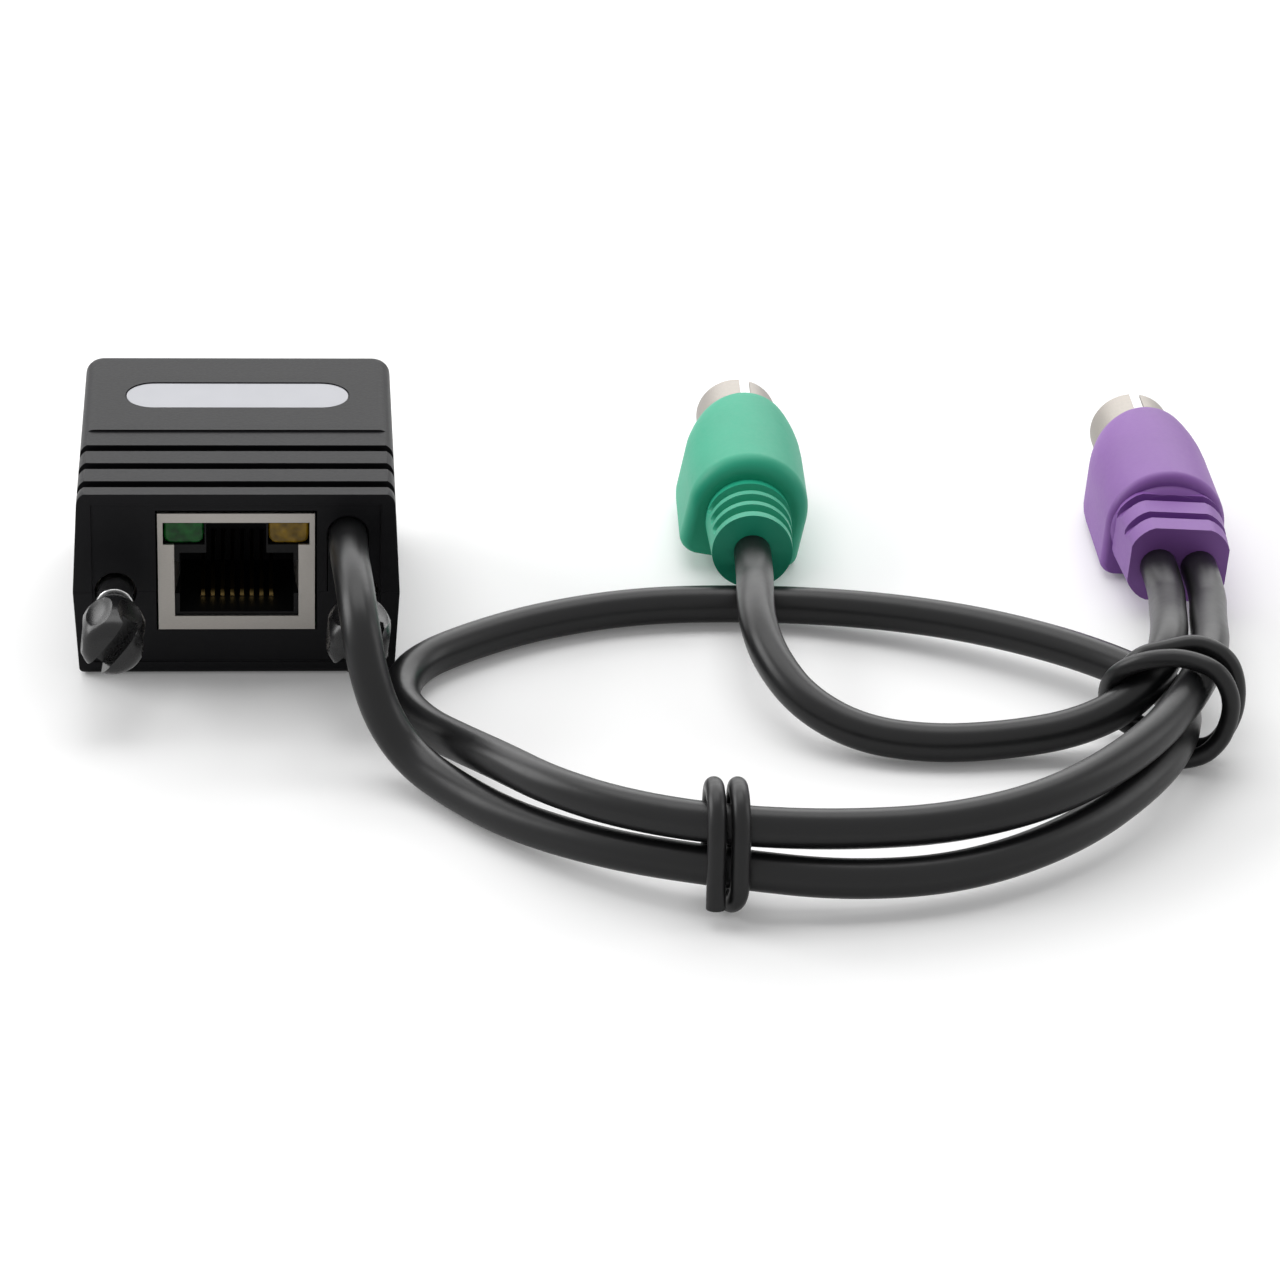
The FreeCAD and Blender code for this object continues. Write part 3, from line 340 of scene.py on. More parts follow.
def direct_rays(tree, rays):
    """One for rays from the camera, off gloss or through glass, and none for light on the object."""
    gloss = add_node(tree, "ShaderNodeMath", operation="MAXIMUM",
                     links={0: rays.outputs["Is Camera Ray"], 1: rays.outputs["Is Glossy Ray"]})
    glass = add_node(tree, "ShaderNodeMath", operation="MAXIMUM",
                     links={0: gloss.outputs[0], 1: rays.outputs["Is Transmission Ray"]})
    return glass.outputs[0]


class DONGLE_OT_stage(bpy.types.Operator):
    """Lay the pale floor, hang the soft lights and set the camera"""

    bl_idname = "dongle.stage"
    bl_label = "Stage and Camera"

    def execute(self, context):
        scene = context.scene
        bpy.ops.object.select_all(action="DESELECT")
        bpy.ops.mesh.primitive_plane_add(size=6.0, location=(0, 0, 0))
        floor = context.object
        floor.name = "floor"
        material, tree = new_material("matt white paper")
        rays = add_node(tree, "ShaderNodeLightPath")
        paper = add_node(tree, "ShaderNodeBsdfDiffuse", {"Color": linear("#f2f2f2")})
        lift = add_node(tree, "ShaderNodeEmission", {"Color": linear("#ffffff"), "Strength": FLOOR_LIFT})
        both = add_node(tree, "ShaderNodeAddShader", links={0: paper.outputs[0], 1: lift.outputs[0]})
        seen = add_node(tree, "ShaderNodeMixShader",
                        links={0: direct_rays(tree, rays), 1: paper.outputs[0], 2: both.outputs[0]})
        close(tree, seen)
        floor.data.materials.append(material)

        world = bpy.data.worlds.new("studio")
        scene.world = world
        world.use_nodes = True
        tree = world.node_tree
        tree.nodes.clear()
        soft = add_node(tree, "ShaderNodeBackground",
                        {"Color": linear("#ffffff"), "Strength": SOFT_WORLD})
        white = add_node(tree, "ShaderNodeBackground", {"Color": linear("#ffffff"), "Strength": 1.0})
        rays = add_node(tree, "ShaderNodeLightPath")
        mixed = add_node(tree, "ShaderNodeMixShader",
                         links={0: direct_rays(tree, rays), 1: soft.outputs[0], 2: white.outputs[0]})
        add_node(tree, "ShaderNodeOutputWorld", links={"Surface": mixed.outputs[0]})

        lamps = (
            # name, place, size, watts and aim
            ("back softbox", (0.05, 0.85, 0.50), (1.5, 0.55), 6.5, (0.04, 0.0, 0.0)),
            ("overhead", (0.0, 0.30, 0.85), (0.9, 0.5), 4.0, (0.03, 0.0, 0.0)),
            ("left", (-0.70, 0.25, 0.40), (0.5, 0.5), 4.0, (0.0, 0.0, 0.0)),
            ("right", (0.85, 0.10, 0.40), (0.3, 0.5), 0.9, (0.05, 0.0, 0.0)),
        )
        for name, place, extent, power, aim in lamps:
            light = bpy.data.lights.new(name, "AREA")
            light.shape = "RECTANGLE"
            light.size, light.size_y = extent
            light.energy = power
            lamp = bpy.data.objects.new(name, light)
            scene.collection.objects.link(lamp)
            lamp.location = place
            lamp.rotation_euler = (Vector(aim) - Vector(place)).to_track_quat("-Z", "Y").to_euler()

        pitch, heading, roll = (math.radians(angle) for angle in VIEW_TURN)
        forward = Vector((math.sin(heading) * math.cos(pitch),
                          math.cos(heading) * math.cos(pitch), -math.sin(pitch)))
        level = Vector((math.cos(heading), -math.sin(heading), 0))
        above = level.cross(forward)
        right = level * math.cos(roll) + above * math.sin(roll)
        up = above * math.cos(roll) - level * math.sin(roll)
        view = bpy.data.cameras.new("photo_view")
        view.sensor_width = 36.0
        view.lens = VIEW_LENS
        view.clip_start = 0.01
        camera = bpy.data.objects.new("photo_view", view)
        scene.collection.objects.link(camera)
        camera.location = at(*VIEW_FROM)
        camera.rotation_euler = Matrix((right, up, -forward)).transposed().to_euler()
        scene.camera = camera
        scene.view_settings.view_transform = "Standard"
        return {"FINISHED"}


# Cords

MAIN_ROUTE = [
    (11.5, 1.68, 16.3), (11.5, -3.4, 16.3), (12.0, -9.8, 16.3), (12.5, -15.8, 14.8),
    (13.3, -19.1, 10.7), (14.9, -20.7, 6.2), (17.7, -23.2, 3.0), (21.8, -27.8, 2.15),
    (27.6, -34.6, 2.4), (36.6, -41.9, 3.5), (47.4, -46.8, 4.4), (59.4, -47.8, 3.4),
    (71.4, -45.6, 3.0), (82.8, -39.0, 3.3), (91.6, -29.6, 3.9), (96.4, -20.8, 4.15),
    (97.4, -12.4, 4.15), (92.6, -6.4, 4.0), (86.0, -0.8, 3.9), (77.0, 5.0, 3.4),
    (66.2, 9.4, 2.7), (54.6, 11.6, 2.15), (43.0, 11.2, 2.15), (32.6, 8.0, 2.15),
    (24.6, 3.4, 2.15), (18.4, -1.8, 2.15), (16.4, -8.6, 2.15), (19.0, -15.0, 2.4),
    (22.6, -21.4, 3.9), (26.2, -28.6, 6.0), (31.0, -35.8, 7.2), (38.0, -41.6, 7.9),
    (47.4, -45.9, 8.6), (59.0, -45.4, 7.7), (70.6, -43.4, 7.3), (81.4, -38.6, 7.6),
    (90.8, -29.8, 8.1), (96.8, -20.2, 8.4), (100.7, -10.5, 8.3), (101.95, -1.0, 7.0),
    (103.42, 6.8, 5.69), (103.38, 13.01, 5.69),
]
LINK_ROUTE = [
    (98.98, 12.98, 5.92), (99.02, 7.4, 5.92), (98.0, 1.0, 7.0), (97.0, -6.2, 8.4),
    (95.4, -12.6, 8.4), (91.8, -16.4, 5.7), (86.2, -17.4, 3.1), (79.0, -18.2, 2.15),
    (70.8, -19.0, 2.15), (63.6, -17.4, 2.5), (58.2, -13.6, 4.0), (55.2, -8.0, 5.9),
    (54.2, -1.8, 7.1), (54.5, 4.4, 7.2), (55.02, 9.9, 6.46), (55.17, 15.31, 6.46),
]
REAR_TIE_ROUTE = [
    (96.0, -14.6, 1.05), (92.6, -13.6, 1.1), (90.7, -13.8, 4.2), (90.7, -14.3, 7.6), (92.2, -14.9, 10.2),
    (94.8, -15.4, 11.2), (98.2, -15.3, 12.0), (101.1, -16.8, 11.0), (102.2, -17.6, 8.2), (102.0, -18.3, 4.8),
    (100.0, -18.7, 1.4), (97.0, -17.6, 1.05), (93.6, -15.2, 1.05), (90.3, -13.0, 2.0), (89.4, -13.3, 5.0),
    (89.8, -14.9, 7.9), (91.4, -16.2, 9.9), (93.6, -17.2, 11.1), (96.4, -18.2, 11.7), (99.5, -20.1, 11.3),
    (101.0, -20.6, 8.6), (101.1, -20.6, 5.9), (100.2, -20.7, 3.1), (98.0, -21.0, 1.3), (95.4, -20.6, 1.05),
]


def spline_curve(name, points, diameter):
    """A NURBS line through control points, with a round section."""
    curve = bpy.data.curves.new(name, "CURVE")
    curve.dimensions = "3D"
    line = curve.splines.new("NURBS")
    line.points.add(len(points) - 1)
    for target, point in zip(line.points, points):
        target.co = (*at(*point), 1.0)
    line.order_u = 3
    line.use_endpoint_u = True
    curve.resolution_u = 16
    curve.bevel_depth = diameter / 2
    curve.bevel_resolution = 8
    curve.use_fill_caps = True
    piece = bpy.data.objects.new(name, curve)
    bpy.context.scene.collection.objects.link(piece)
    return piece


def spline_length(piece):
    """Length of a curve's own line."""
    bare = piece.data.copy()
    bare.bevel_depth = 0
    probe = bpy.data.objects.new("probe", bare)
    bpy.context.scene.collection.objects.link(probe)
    bpy.context.view_layer.update()
    mesh = bpy.data.meshes.new_from_object(probe.evaluated_get(bpy.context.evaluated_depsgraph_get()))
    points = [vertex.co.copy() for vertex in mesh.vertices]
    bpy.data.objects.remove(probe)
    return sum((b - a).length for a, b in zip(points, points[1:]))


def cord_jacket(name, colour):
    """PVC cord jacket: semi-gloss, extruded, with a faint grain."""
    return moulded_plastic(name, colour, 0.33, 0.9, 0.012, ior=1.36, mottle=0.12)


PLUG_PIECES = ("shell", "insert", "pins")


class DONGLE_OT_cords(bpy.types.Operator):
    """Lay the looped main cord and the cord that links the two round plugs"""

    bl_idname = "dongle.cords"
    bl_label = "Cords"

    def execute(self, context):
        settings = context.scene.dongle_cords
        jacket = cord_jacket("extruded PVC jacket", settings.jacket)
        main = spline_curve("main_cord_line", MAIN_ROUTE, settings.diameter)
        link = spline_curve("link_cord_line", LINK_ROUTE, settings.diameter)
        for piece, node in ((main, "main_cord"), (link, "link_cord")):
            piece.data.materials.append(jacket)
            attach(piece, "housing")
            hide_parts(node)
        keyboard = [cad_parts["keyboard_plug_" + part] for part in PLUG_PIECES]
        keyboard.append(bpy.data.objects["keyboard_hood"])
        mouse = [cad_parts["mouse_plug_" + part] for part in PLUG_PIECES]
        mouse.append(bpy.data.objects["mouse_hood"])
        spline_length(main)
        spline_length(link)
        return {"FINISHED"}


class DONGLE_OT_housing(bpy.types.Operator):
    """Finish the two housing shells and the bare label plate"""

    bl_idname = "dongle.housing"
    bl_label = "Housing"

    def execute(self, context):
        settings = context.scene.dongle_housing
        plastic = moulded_plastic("spark-eroded ABS", settings.plastic, 0.42,
                                  settings.grain / MM, 0.02, ior=1.2)
        for node in ("upper_shell", "lower_shell"):
            softened(node, node + "_moulding", "housing", "housing_plastic", plastic, 0.18 * MM)
        plate = moulded_plastic("satin label film", settings.label, 0.4, 2.0, 0.004, mottle=0.02)
        dress("label_plate", plate)
        return {"FINISHED"}


class DONGLE_OT_jack(bpy.types.Operator):
    """Finish the network jack: shield, insert, contacts and the two lamps"""

    bl_idname = "dongle.jack"
    bl_label = "Network Jack"

    def execute(self, context):
        steel = plated_metal("brushed nickel-plated steel", linear("#9c9893"), 0.36, 0.4, (1.0, 1.0, 12.0))
        softened("jack_shield", "jack_shield_sheet", "housing", "shield_metal", steel, 0.06 * MM)
        insert = moulded_plastic("black jack insert", linear("#0a0a0b"), 0.5, 0.5, 0.01, ior=1.25)
        dress("jack_insert", insert)
        gold = plated_metal("gold flash", linear("#d9b56a"), 0.22, 0.3, (1.0, 1.0, 1.0))
        for node in ("vga_pins", "keyboard_plug_pins", "mouse_plug_pins"):
            dress(node, gold)
        # gold tips are the real plating; the nickel wire colour #3a2f1c is painted shade
        wire = gold_tip_painted_shade_contact("gold-tipped contacts, nickel with painted shade", linear("#3a2f1c"), linear("#ffd98a"))
        dress("jack_contacts", wire)
        for node, colour in (("led_green", "#075a1e"), ("led_amber", "#8a6c10")):
            lens = lamp_lens(node + " tinted lens", linear(colour))
            slot = node.replace("led", "lamp")
            softened(node, node + "_lens", "housing", slot, lens, 0.32 * MM, segments=4)
        dress("circuit_board", moulded_plastic("solder mask", linear("#16452c"), 0.35, 2.0, 0.01))
        dress("controller_chip", moulded_plastic("moulded epoxy", linear("#161616"), 0.6, 0.3, 0.01))
        dress("cord_clamp", moulded_plastic("black clamp", linear("#151516"), 0.55, 0.5, 0.01))
        return {"FINISHED"}


class DONGLE_OT_video_plug(bpy.types.Operator):
    """Finish the video plug, the retaining rings and the round plugs' sleeves"""

    bl_idname = "dongle.video_plug"
    bl_label = "Video Plug"

    def execute(self, context):
        tin = plated_metal("tin-plated shell", linear("#96918b"), 0.46, 0.6, (1.0, 1.0, 6.0))
        for node in ("vga_shell", "crystal", "screw_ring_left", "screw_ring_right",
                     "keyboard_plug_shell", "mouse_plug_shell"):
            dress(node, tin)
        dress("vga_insert", moulded_plastic("blue video insulator", linear("#1f3fa8"), 0.45, 0.4, 0.01))
        black = moulded_plastic("glass-filled black insulator", linear("#141416"), 0.5, 0.4, 0.01)
        for node in ("keyboard_plug_insert", "mouse_plug_insert"):
            dress(node, black)
        return {"FINISHED"}


SCREW_HEIGHT = 9.72     # the screws lie in the parting plane
SCREW_OUT = 12.5        # half of a video plug's 25 mm screw spacing
GRIP_PROFILE = [        # radius and place of the grip's rings, from the slotted end
    (0.6, -12.98), (1.7, -12.92), (2.35, -12.7), (2.85, -12.3), (3.15, -11.75), (3.38, -10.9),
    (3.49, -9.9), (3.5, -8.9), (3.4, -7.8), (3.17, -6.7), (2.8, -5.7), (2.4, -4.9), (2.1, -4.35),
    (1.92, -3.95), (1.86, -3.6), (1.86, -3.02),
]
FLUTES = 6
FLUTE_TURN = 55.0       # the first flute's angle, in degrees
FLUTE_OUT = 4.5         # from the screw's axis to the middle of the hollow's cutter
FLUTE_HALF = (1.75, 5.0, 2.3)   # the cutter's half sizes: outwards, along the screw, across
FLUTE_PLACE = -9.6      # the cutter's middle along the screw
SLOT_WIDTH = 1.7        # driver slot
SLOT_PLACE = -12.6      # the slot's middle along the screw
SLOT_TURN = -52.0       # its slant on the grip's end, in degrees
THREAD_PITCH = 0.635    # forty threads to the inch
THREAD_ROOT, THREAD_CREST = 1.17, 1.42
THREAD_START, THREAD_END = 33.6, 39.9


def fluted_grip(name, x):
    """A moulded thumb grip: an egg-shaped turned blank, six hollow flutes and a driver slot."""
    piece = turned(name, (x, SCREW_HEIGHT), GRIP_PROFILE, 96)
    for number in range(FLUTES):
        turn = math.radians(FLUTE_TURN + number * 360 / FLUTES)
        bpy.ops.object.select_all(action="DESELECT")
        bpy.ops.mesh.primitive_uv_sphere_add(segments=48, ring_count=24, radius=MM, location=(0, 0, 0))
        hollow = bpy.context.object
        hollow.scale = FLUTE_HALF
        bpy.ops.object.transform_apply(location=True, rotation=True, scale=True)
        hollow.location = at(x + FLUTE_OUT * math.cos(turn), FLUTE_PLACE,
                             SCREW_HEIGHT + FLUTE_OUT * math.sin(turn))
        hollow.rotation_euler = (0, -turn, 0)
        bpy.ops.object.transform_apply(location=True, rotation=True, scale=True)
        cut_away(piece, hollow)
    bpy.ops.object.select_all(action="DESELECT")
    bpy.ops.mesh.primitive_cube_add(size=1.0, location=at(x, SLOT_PLACE, SCREW_HEIGHT),
                                    rotation=(0, math.radians(SLOT_TURN), 0))
    blade = bpy.context.object
    blade.scale = (10 * MM, 5.2 * MM, SLOT_WIDTH * MM)
    bpy.ops.object.transform_apply(location=True, rotation=True, scale=True)
    cut_away(piece, blade)
    edge = piece.modifiers.new("Edge", "BEVEL")
    edge.width = 0.16 * MM
    edge.segments = 3
    edge.limit_method = "ANGLE"
    edge.angle_limit = math.radians(32)
    select_only(piece)
    bpy.ops.object.modifier_apply(modifier=edge.name)
    even_shading(piece)
    return piece


def threaded_shaft(name, x):
    """A plated screw: ring, shank, waist at the flange and a real helical thread."""
    # radius and place of each ring, from the grip
    shank = [
        (1.6, -3.0), (1.93, -3.0), (1.98, -2.95), (1.98, -2.72), (1.93, -2.67), (1.875, -2.6),
        (1.875, 0.9), (1.78, 1.0), (1.6, 1.0),
        (1.6, 3.58), (1.35, 3.58), (1.35, 4.42), (1.6, 4.42), (1.6, 31.6), (1.5, 31.7),
        (1.2, 31.7), (1.2, 39.95), (0.9, 40.1),
    ]
    piece = turned(name, (x, SCREW_HEIGHT), shank, 48)
    bpy.ops.object.select_all(action="DESELECT")
    bpy.ops.mesh.primitive_plane_add(size=1.0, location=(0, 0, 0))
    thread = bpy.context.object
    thread.name = name + "_thread"
    bpy.ops.object.mode_set(mode="EDIT")
    bpy.ops.mesh.select_all(action="SELECT")
    bpy.ops.mesh.delete(type="ONLY_FACE")
    bpy.ops.object.mode_set(mode="OBJECT")
    # the plane's four corners become the thread's root, flank, crest and root again
    tooth = [(THREAD_ROOT, 0.0), (THREAD_CREST, 0.27), (THREAD_CREST, 0.37), (THREAD_ROOT, THREAD_PITCH)]
    order = [0, 1, 3, 2]
    for index, (radius, along) in zip(order, tooth):
        thread.data.vertices[index].co = (radius * MM, along * MM, 0)
    bpy.ops.object.mode_set(mode="EDIT")
    bpy.ops.mesh.select_all(action="DESELECT")
    mesh = bmesh.from_edit_mesh(thread.data)
    ends = {order[0], order[3]}
    for edge in mesh.edges:
        if {edge.verts[0].index, edge.verts[1].index} == ends:
            edge.select = True
    bmesh.update_edit_mesh(thread.data)
    bpy.ops.mesh.delete(type="EDGE")
    bpy.ops.object.mode_set(mode="OBJECT")
    helix = thread.modifiers.new("Helix", "SCREW")
    helix.axis = "Y"
    helix.angle = math.tau
    helix.screw_offset = THREAD_PITCH * MM
    helix.steps = 40
    helix.render_steps = 40
    helix.iterations = 9
    helix.use_merge_vertices = True
    helix.merge_threshold = 0.002 * MM
    bpy.ops.object.modifier_apply(modifier=helix.name)
    thread.location = at(x, THREAD_START, SCREW_HEIGHT)
    bpy.ops.object.transform_apply(location=True, rotation=True, scale=True)
    bpy.ops.object.mode_set(mode="EDIT")
    bpy.ops.mesh.select_all(action="SELECT")
    bpy.ops.mesh.remove_doubles(threshold=0.002 * MM)
    bpy.ops.mesh.normals_make_consistent(inside=False)
    bpy.ops.mesh.bisect(plane_co=at(x, THREAD_END, SCREW_HEIGHT), plane_no=(0, 1, 0), clear_outer=True)
    bpy.ops.object.mode_set(mode="OBJECT")
    select_only(piece)
    thread.select_set(True)
    bpy.ops.object.join()
    even_shading(piece)
    return piece


class DONGLE_OT_grips(bpy.types.Operator):
    """Make the two thumbscrews: fluted grips on plated, threaded shafts"""

    bl_idname = "dongle.grips"
    bl_label = "Thumbscrews"

    def execute(self, context):
        grip = moulded_plastic("glossy black nylon", linear("#121213"), 0.27, 0.8, 0.01, ior=1.4)
        zinc = plated_metal("bright zinc-plated steel", linear("#cfcfcf"), 0.18, 0.8, (1.0, 6.0, 1.0))
        for side, x in (("left", -SCREW_OUT), ("right", SCREW_OUT)):
            finish(fluted_grip("grip_%s_moulding" % side, x), side + "_screw", "grip_plastic", grip,
                   "screw_grip_" + side)
            finish(threaded_shaft("shaft_%s_turned" % side, x), side + "_screw", "plated_steel", zinc,
                   "screw_shaft_" + side)
        return {"FINISHED"}


# the plugs are drawn in millimetres from the cord's end of the relief, on the plug's axis
HOOD_REAR, HOOD_FRONT = 8.2, 26.2
HOOD_HALF, HOOD_LOW, HOOD_HIGH = 6.6, -5.5, 6.9
HOOD_FOOT = 1.1             # rounding of the hood's lower edges
RELIEF_RADIUS = 4.35        # of the mouse plug's round relief
RELIEF_FLAT = (10.7, -4.2, 4.5)     # width, bottom and top of the keyboard plug's flat relief
RELIEF_CORNER = 2.3         # rounding of the flat relief's corners
RELIEF_GROWTH = 0.0115      # the relief widens by this share for each millimetre
RELIEF_ROOT = 9.6           # the relief runs this far into the hood
COLLAR_RADIUS = 5.0
COLLAR_START = 7.35
COLLAR_MIDDLE = 0.3         # height of the collar's middle
PLUGS = {
    # at, yaw and roll lay the plug; shoulder rounds the hood's rear edge; slits are cut over the relief
    # between these places: bite is their share of the height, soft the slope of their walls, and they
    # stop at the height side
    "mouse": {"at": (55.17, 15.31, 6.46), "yaw": -1.6, "roll": 10.0, "shoulder": 1.9,
              "slits": ((0.95, 2.45), (3.2, 4.7), (5.45, 6.95)), "bite": 0.17, "soft": 0.35, "side": 0.9},
    "keyboard": {"at": (101.18, 13.0, 5.8), "yaw": 0.4, "roll": 3.0, "shoulder": 1.1,
                 "slits": ((2.3, 3.6), (6.0, 7.4)), "bite": 0.24, "soft": 0.1, "side": 0.0},
}


def upright_plate(width, low, high, y):
    """A flat plate facing along Y, centred on the plug's axis, in edit mode."""
    bpy.ops.object.select_all(action="DESELECT")
    bpy.ops.mesh.primitive_plane_add(size=1.0, location=(0, y * MM, (low + high) / 2 * MM),
                                     rotation=(math.pi / 2, 0, 0))
    piece = bpy.context.object
    piece.scale = (width * MM, (high - low) * MM, 1)
    bpy.ops.object.transform_apply(location=True, rotation=True, scale=True)
    bpy.ops.object.mode_set(mode="EDIT")
    return piece


def upright_disc(radius):
    """A round plate facing along Y at the end of the relief, in edit mode."""
    bpy.ops.object.select_all(action="DESELECT")
    bpy.ops.mesh.primitive_circle_add(vertices=80, radius=radius * MM, fill_type="NGON",
                                      location=(0, 0, 0), rotation=(math.pi / 2, 0, 0))
    piece = bpy.context.object
    bpy.ops.object.transform_apply(location=True, rotation=True, scale=True)
    bpy.ops.object.mode_set(mode="EDIT")
    return piece


def draw_out(rings, start, middle_z):
    """Extrude the plate in hand through rings of place, width share and height share."""
    bpy.ops.mesh.select_all(action="SELECT")
    place, wide, tall = start, 1.0, 1.0
    for level, next_wide, next_tall in rings:
        bpy.ops.mesh.extrude_region_move(TRANSFORM_OT_translate={"value": (0, (level - place) * MM, 0)})
        bpy.ops.transform.resize(value=(next_wide / wide, 1, next_tall / tall),
                                 center_override=(0, level * MM, middle_z * MM))
        place, wide, tall = level, next_wide, next_tall
    bpy.ops.mesh.select_all(action="SELECT")
    bpy.ops.mesh.normals_make_consistent(inside=False)


def hood_block(name, shoulder):
    """The D-section hood: an arched plate, drawn out with a soft rear edge and a tapered nose."""
    piece = upright_plate(HOOD_HALF * 2, HOOD_LOW, HOOD_HIGH, HOOD_REAR)
    piece.name = name
    select_places(piece, lambda point: point.z > 0)
    bpy.ops.mesh.bevel(offset=(HOOD_HALF - 0.01) * MM, segments=24, affect="VERTICES", clamp_overlap=False)
    select_places(piece, lambda point: point.z < (HOOD_LOW + 0.1) * MM)
    bpy.ops.mesh.bevel(offset=HOOD_FOOT * MM, segments=6, affect="VERTICES", clamp_overlap=False)
    # heights shrink towards a line near the base, so that the flat base stays
    middle_z = HOOD_LOW + 0.8
    half_tall = HOOD_HIGH - middle_z
    # each ring's place, side inset and crown inset
    insets = [(HOOD_REAR + shoulder * (1 - math.cos(math.radians(15 * step))),
               shoulder * 0.65 * (1 - math.sin(math.radians(15 * step))),
               shoulder * (1 - math.sin(math.radians(15 * step)))) for step in range(7)]
    insets += [(HOOD_FRONT - back, side, crown) for back, side, crown in (
        (6.8, 0.0, 0.0), (4.6, 0.1, 0.0), (3.0, 0.33, 0.03), (1.6, 0.68, 0.08), (0.7, 0.98, 0.16),
        (0.25, 1.22, 0.36), (0.0, 1.5, 0.75))]
    first, first_crown = insets[0][1:]
    bpy.ops.mesh.select_all(action="SELECT")
    bpy.ops.transform.resize(value=(1 - first / HOOD_HALF, 1, 1 - first_crown / half_tall),
                             center_override=(0, HOOD_REAR * MM, middle_z * MM))
    rings = [(level, (HOOD_HALF - side) / (HOOD_HALF - first),
              (half_tall - crown) / (half_tall - first_crown)) for level, side, crown in insets[1:]]
    draw_out(rings, HOOD_REAR, middle_z)
    bpy.ops.object.mode_set(mode="OBJECT")
    return piece


def relief_stem(name, kind, facts):
    """The strain relief: it widens towards the hood, with slits over its top."""
    if kind == "keyboard":
        piece = upright_plate(*RELIEF_FLAT, 0)
        bpy.ops.mesh.select_all(action="SELECT")
        bpy.ops.mesh.bevel(offset=RELIEF_CORNER * MM, segments=5, profile=0.38, affect="VERTICES",
                           clamp_overlap=False)
    else:
        piece = upright_disc(RELIEF_RADIUS)
    piece.name = name
    soft, bite = facts["soft"], facts["bite"]
    levels, cuts = [], []
    for low, high in facts["slits"]:
        levels += [low, low + soft, high - soft, high]
        cuts += [low + soft, high - soft]
    levels.append(RELIEF_ROOT)
    grown = [(level, 1 + RELIEF_GROWTH * level, 1 + RELIEF_GROWTH * level) for level in levels[:-1]]
    draw_out(grown + [(RELIEF_ROOT, 1.02, 1.02)], 0.0, 0.0)
    for level in cuts:
        found = select_places(piece, lambda point: abs(point.y - level * MM) < 0.02 * MM
                              and point.z > facts["side"] * MM)
        if not found:
            raise RuntimeError("no ring to cut a slit from at %.2f" % level)
        across = 1 if kind == "keyboard" else 1 - bite
        bpy.ops.transform.resize(value=(across, 1, 1 - bite), center_override=(0, level * MM, 0))
    bpy.ops.object.mode_set(mode="OBJECT")
    return piece


def relief_collar(name):
    """The rounded root that the keyboard plug's flat relief grows from."""
    piece = upright_disc(COLLAR_RADIUS)
    piece.name = name
    middle = (0, COLLAR_START * MM, COLLAR_MIDDLE * MM)
    bpy.ops.mesh.select_all(action="SELECT")
    bpy.ops.transform.translate(value=middle)
    bpy.ops.transform.resize(value=(1.12, 1, 0.92), center_override=middle)
    draw_out([(7.6, 1.04, 1.06), (7.9, 1.075, 1.115), (8.2, 1.095, 1.15), (RELIEF_ROOT, 1.1, 1.16)],
             COLLAR_START, COLLAR_MIDDLE)
    bpy.ops.object.mode_set(mode="OBJECT")
    return piece


def join_to(piece, other):
    """Make two closed shapes one."""
    select_only(piece)
    union = piece.modifiers.new("Union", "BOOLEAN")
    union.operation = "UNION"
    union.solver = "EXACT"
    union.object = other
    bpy.ops.object.modifier_apply(modifier=union.name)
    bpy.data.objects.remove(other)


def plug_hood(kind):
    """The whole overmould: hood and relief made one, then laid at the plug's place."""
    facts = PLUGS[kind]
    piece = hood_block(kind + "_hood", facts["shoulder"])
    if kind == "keyboard":
        join_to(piece, relief_collar(kind + "_collar"))
    join_to(piece, relief_stem(kind + "_relief", kind, facts))
    if not piece.data.vertices:
        raise RuntimeError("the %s hood came out empty" % kind)
    yaw = Matrix.Rotation(math.radians(facts["yaw"]), 4, "Z")
    roll = Matrix.Rotation(math.radians(facts["roll"]), 4, "Y")
    piece.matrix_world = Matrix.Translation(at(*facts["at"])) @ (yaw @ roll)
    select_only(piece)
    bpy.ops.object.transform_apply(location=True, rotation=True, scale=True)
    bpy.ops.object.shade_smooth_by_angle(angle=math.radians(30 if kind == "keyboard" else 50))
    weigh = piece.modifiers.new("Even", "WEIGHTED_NORMAL")
    weigh.weight = 50
    weigh.keep_sharp = True
    bpy.ops.object.modifier_apply(modifier=weigh.name)
    return piece


class DONGLE_OT_round_plugs(bpy.types.Operator):
    """Make the purple and green overmoulded plug hoods"""

    bl_idname = "dongle.round_plugs"
    bl_label = "Round Plugs"

    def execute(self, context):
        settings = context.scene.dongle_plugs
        # soft PVC with a fine matt mould grain: broad pale sheen, no sharp highlight
        for kind, slot, colour in (("keyboard", "plug_purple", settings.keyboard),
                                   ("mouse", "plug_green", settings.mouse)):
            vinyl = moulded_plastic(kind + " overmould PVC", colour, 0.5, 0.5, 0.01, ior=1.45, mottle=0.05)
            finish(plug_hood(kind), "housing", slot, vinyl, kind + "_plug_body")
        return {"FINISHED"}


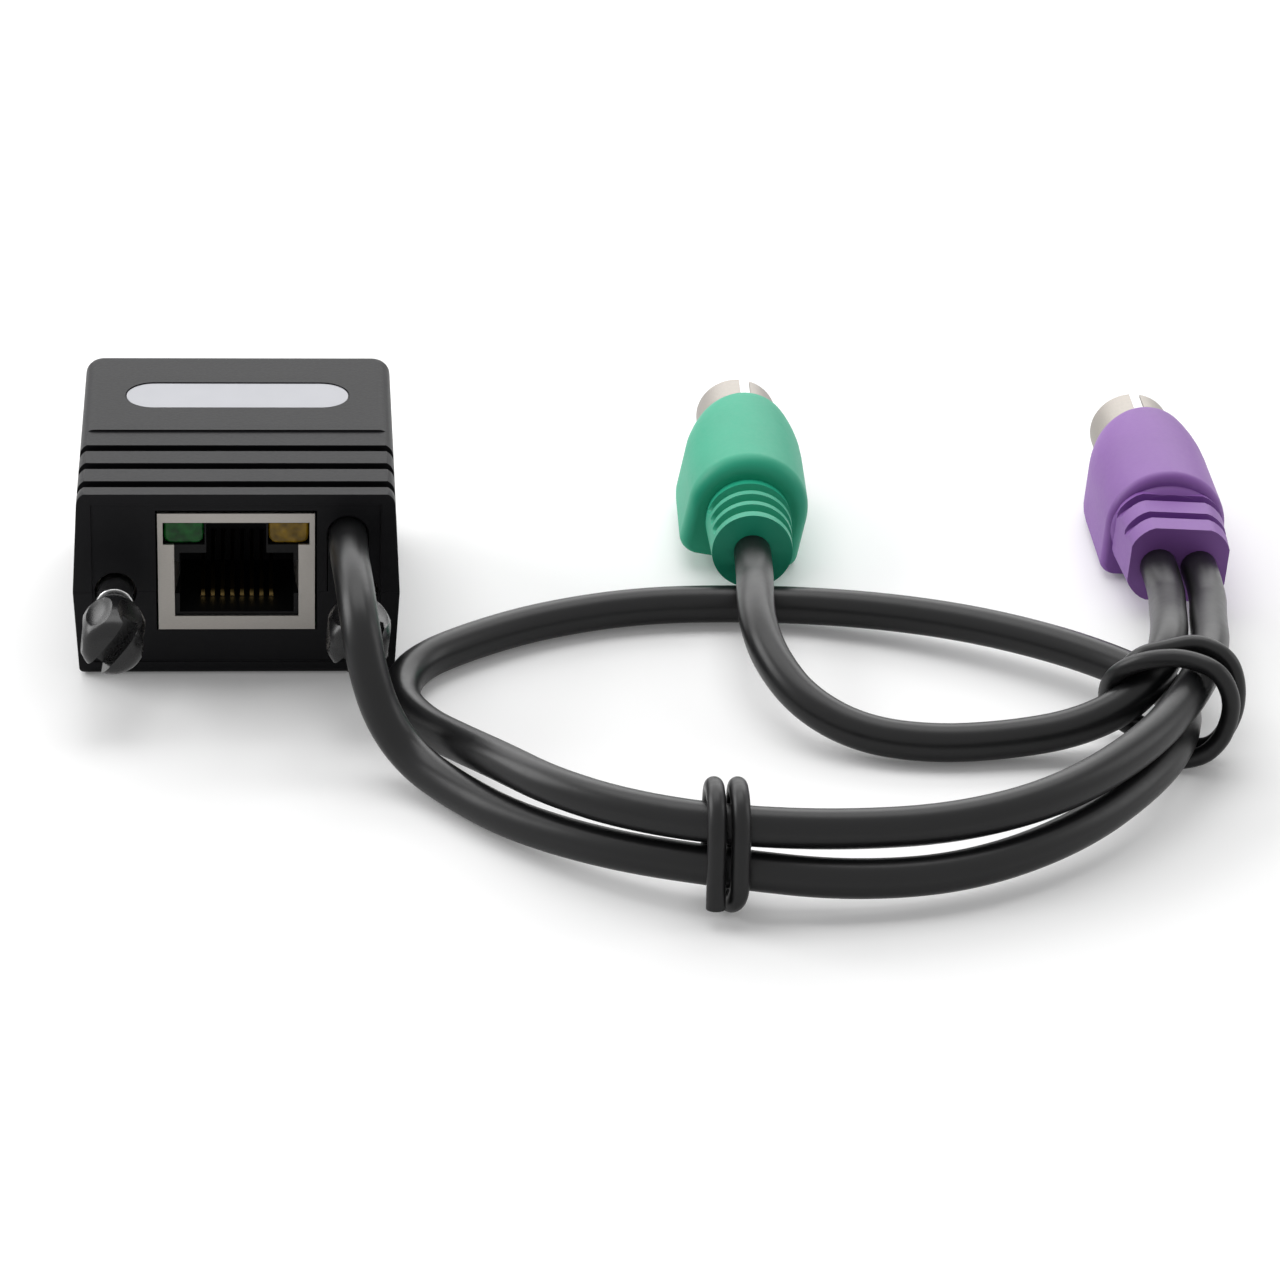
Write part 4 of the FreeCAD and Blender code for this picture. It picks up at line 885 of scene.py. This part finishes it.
class DONGLE_OT_ties(bpy.types.Operator):
    """Finish the front wire tie and bend the rear one"""

    bl_idname = "dongle.ties"
    bl_label = "Ties"

    def execute(self, context):
        settings = context.scene.dongle_cords
        coating = moulded_plastic("PVC-coated tie wire", linear("#121213"), 0.36, 0.8, 0.01, ior=1.36)
        dress("front_tie", coating)
        wire = spline_curve("rear_tie_wire", REAR_TIE_ROUTE, settings.tie)
        wire.data.materials.append(coating)
        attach(wire, "housing")
        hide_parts("rear_tie")
        return {"FINISHED"}


class DONGLE_PT_panel(bpy.types.Panel):
    """Lists the steps that dress the dongle"""

    bl_idname = "DONGLE_PT_panel"
    bl_label = "KVM Dongle"
    bl_space_type = "VIEW_3D"
    bl_region_type = "UI"
    bl_category = "Dongle"

    def draw(self, context):
        for group in ("dongle_housing", "dongle_cords", "dongle_plugs"):
            settings = getattr(context.scene, group)
            for name in settings.bl_rna.properties.keys():
                if name not in ("rna_type", "name"):
                    self.layout.prop(settings, name)
        for step in STEPS:
            self.layout.operator(step.bl_idname)


STEPS = (
    DONGLE_OT_stage,
    DONGLE_OT_round_plugs,
    DONGLE_OT_cords,
    DONGLE_OT_ties,
    DONGLE_OT_housing,
    DONGLE_OT_jack,
    DONGLE_OT_video_plug,
    DONGLE_OT_grips,
)
CLASSES = (HousingSettings, CordSettings, PlugSettings, *STEPS, DONGLE_PT_panel)


def register():
    for item in CLASSES:
        bpy.utils.register_class(item)
    bpy.types.Scene.dongle_housing = bpy.props.PointerProperty(type=HousingSettings)
    bpy.types.Scene.dongle_cords = bpy.props.PointerProperty(type=CordSettings)
    bpy.types.Scene.dongle_plugs = bpy.props.PointerProperty(type=PlugSettings)


def unregister():
    del bpy.types.Scene.dongle_housing
    del bpy.types.Scene.dongle_cords
    del bpy.types.Scene.dongle_plugs
    for item in reversed(CLASSES):
        bpy.utils.unregister_class(item)


def main():
    register()
    bpy.ops.dongle.stage()
    bpy.ops.dongle.round_plugs()
    bpy.ops.dongle.cords()
    bpy.ops.dongle.ties()
    bpy.ops.dongle.housing()
    bpy.ops.dongle.jack()
    bpy.ops.dongle.video_plug()
    bpy.ops.dongle.grips()
    bpy.context.view_layer.update()


if __name__ == "__main__":
    main()
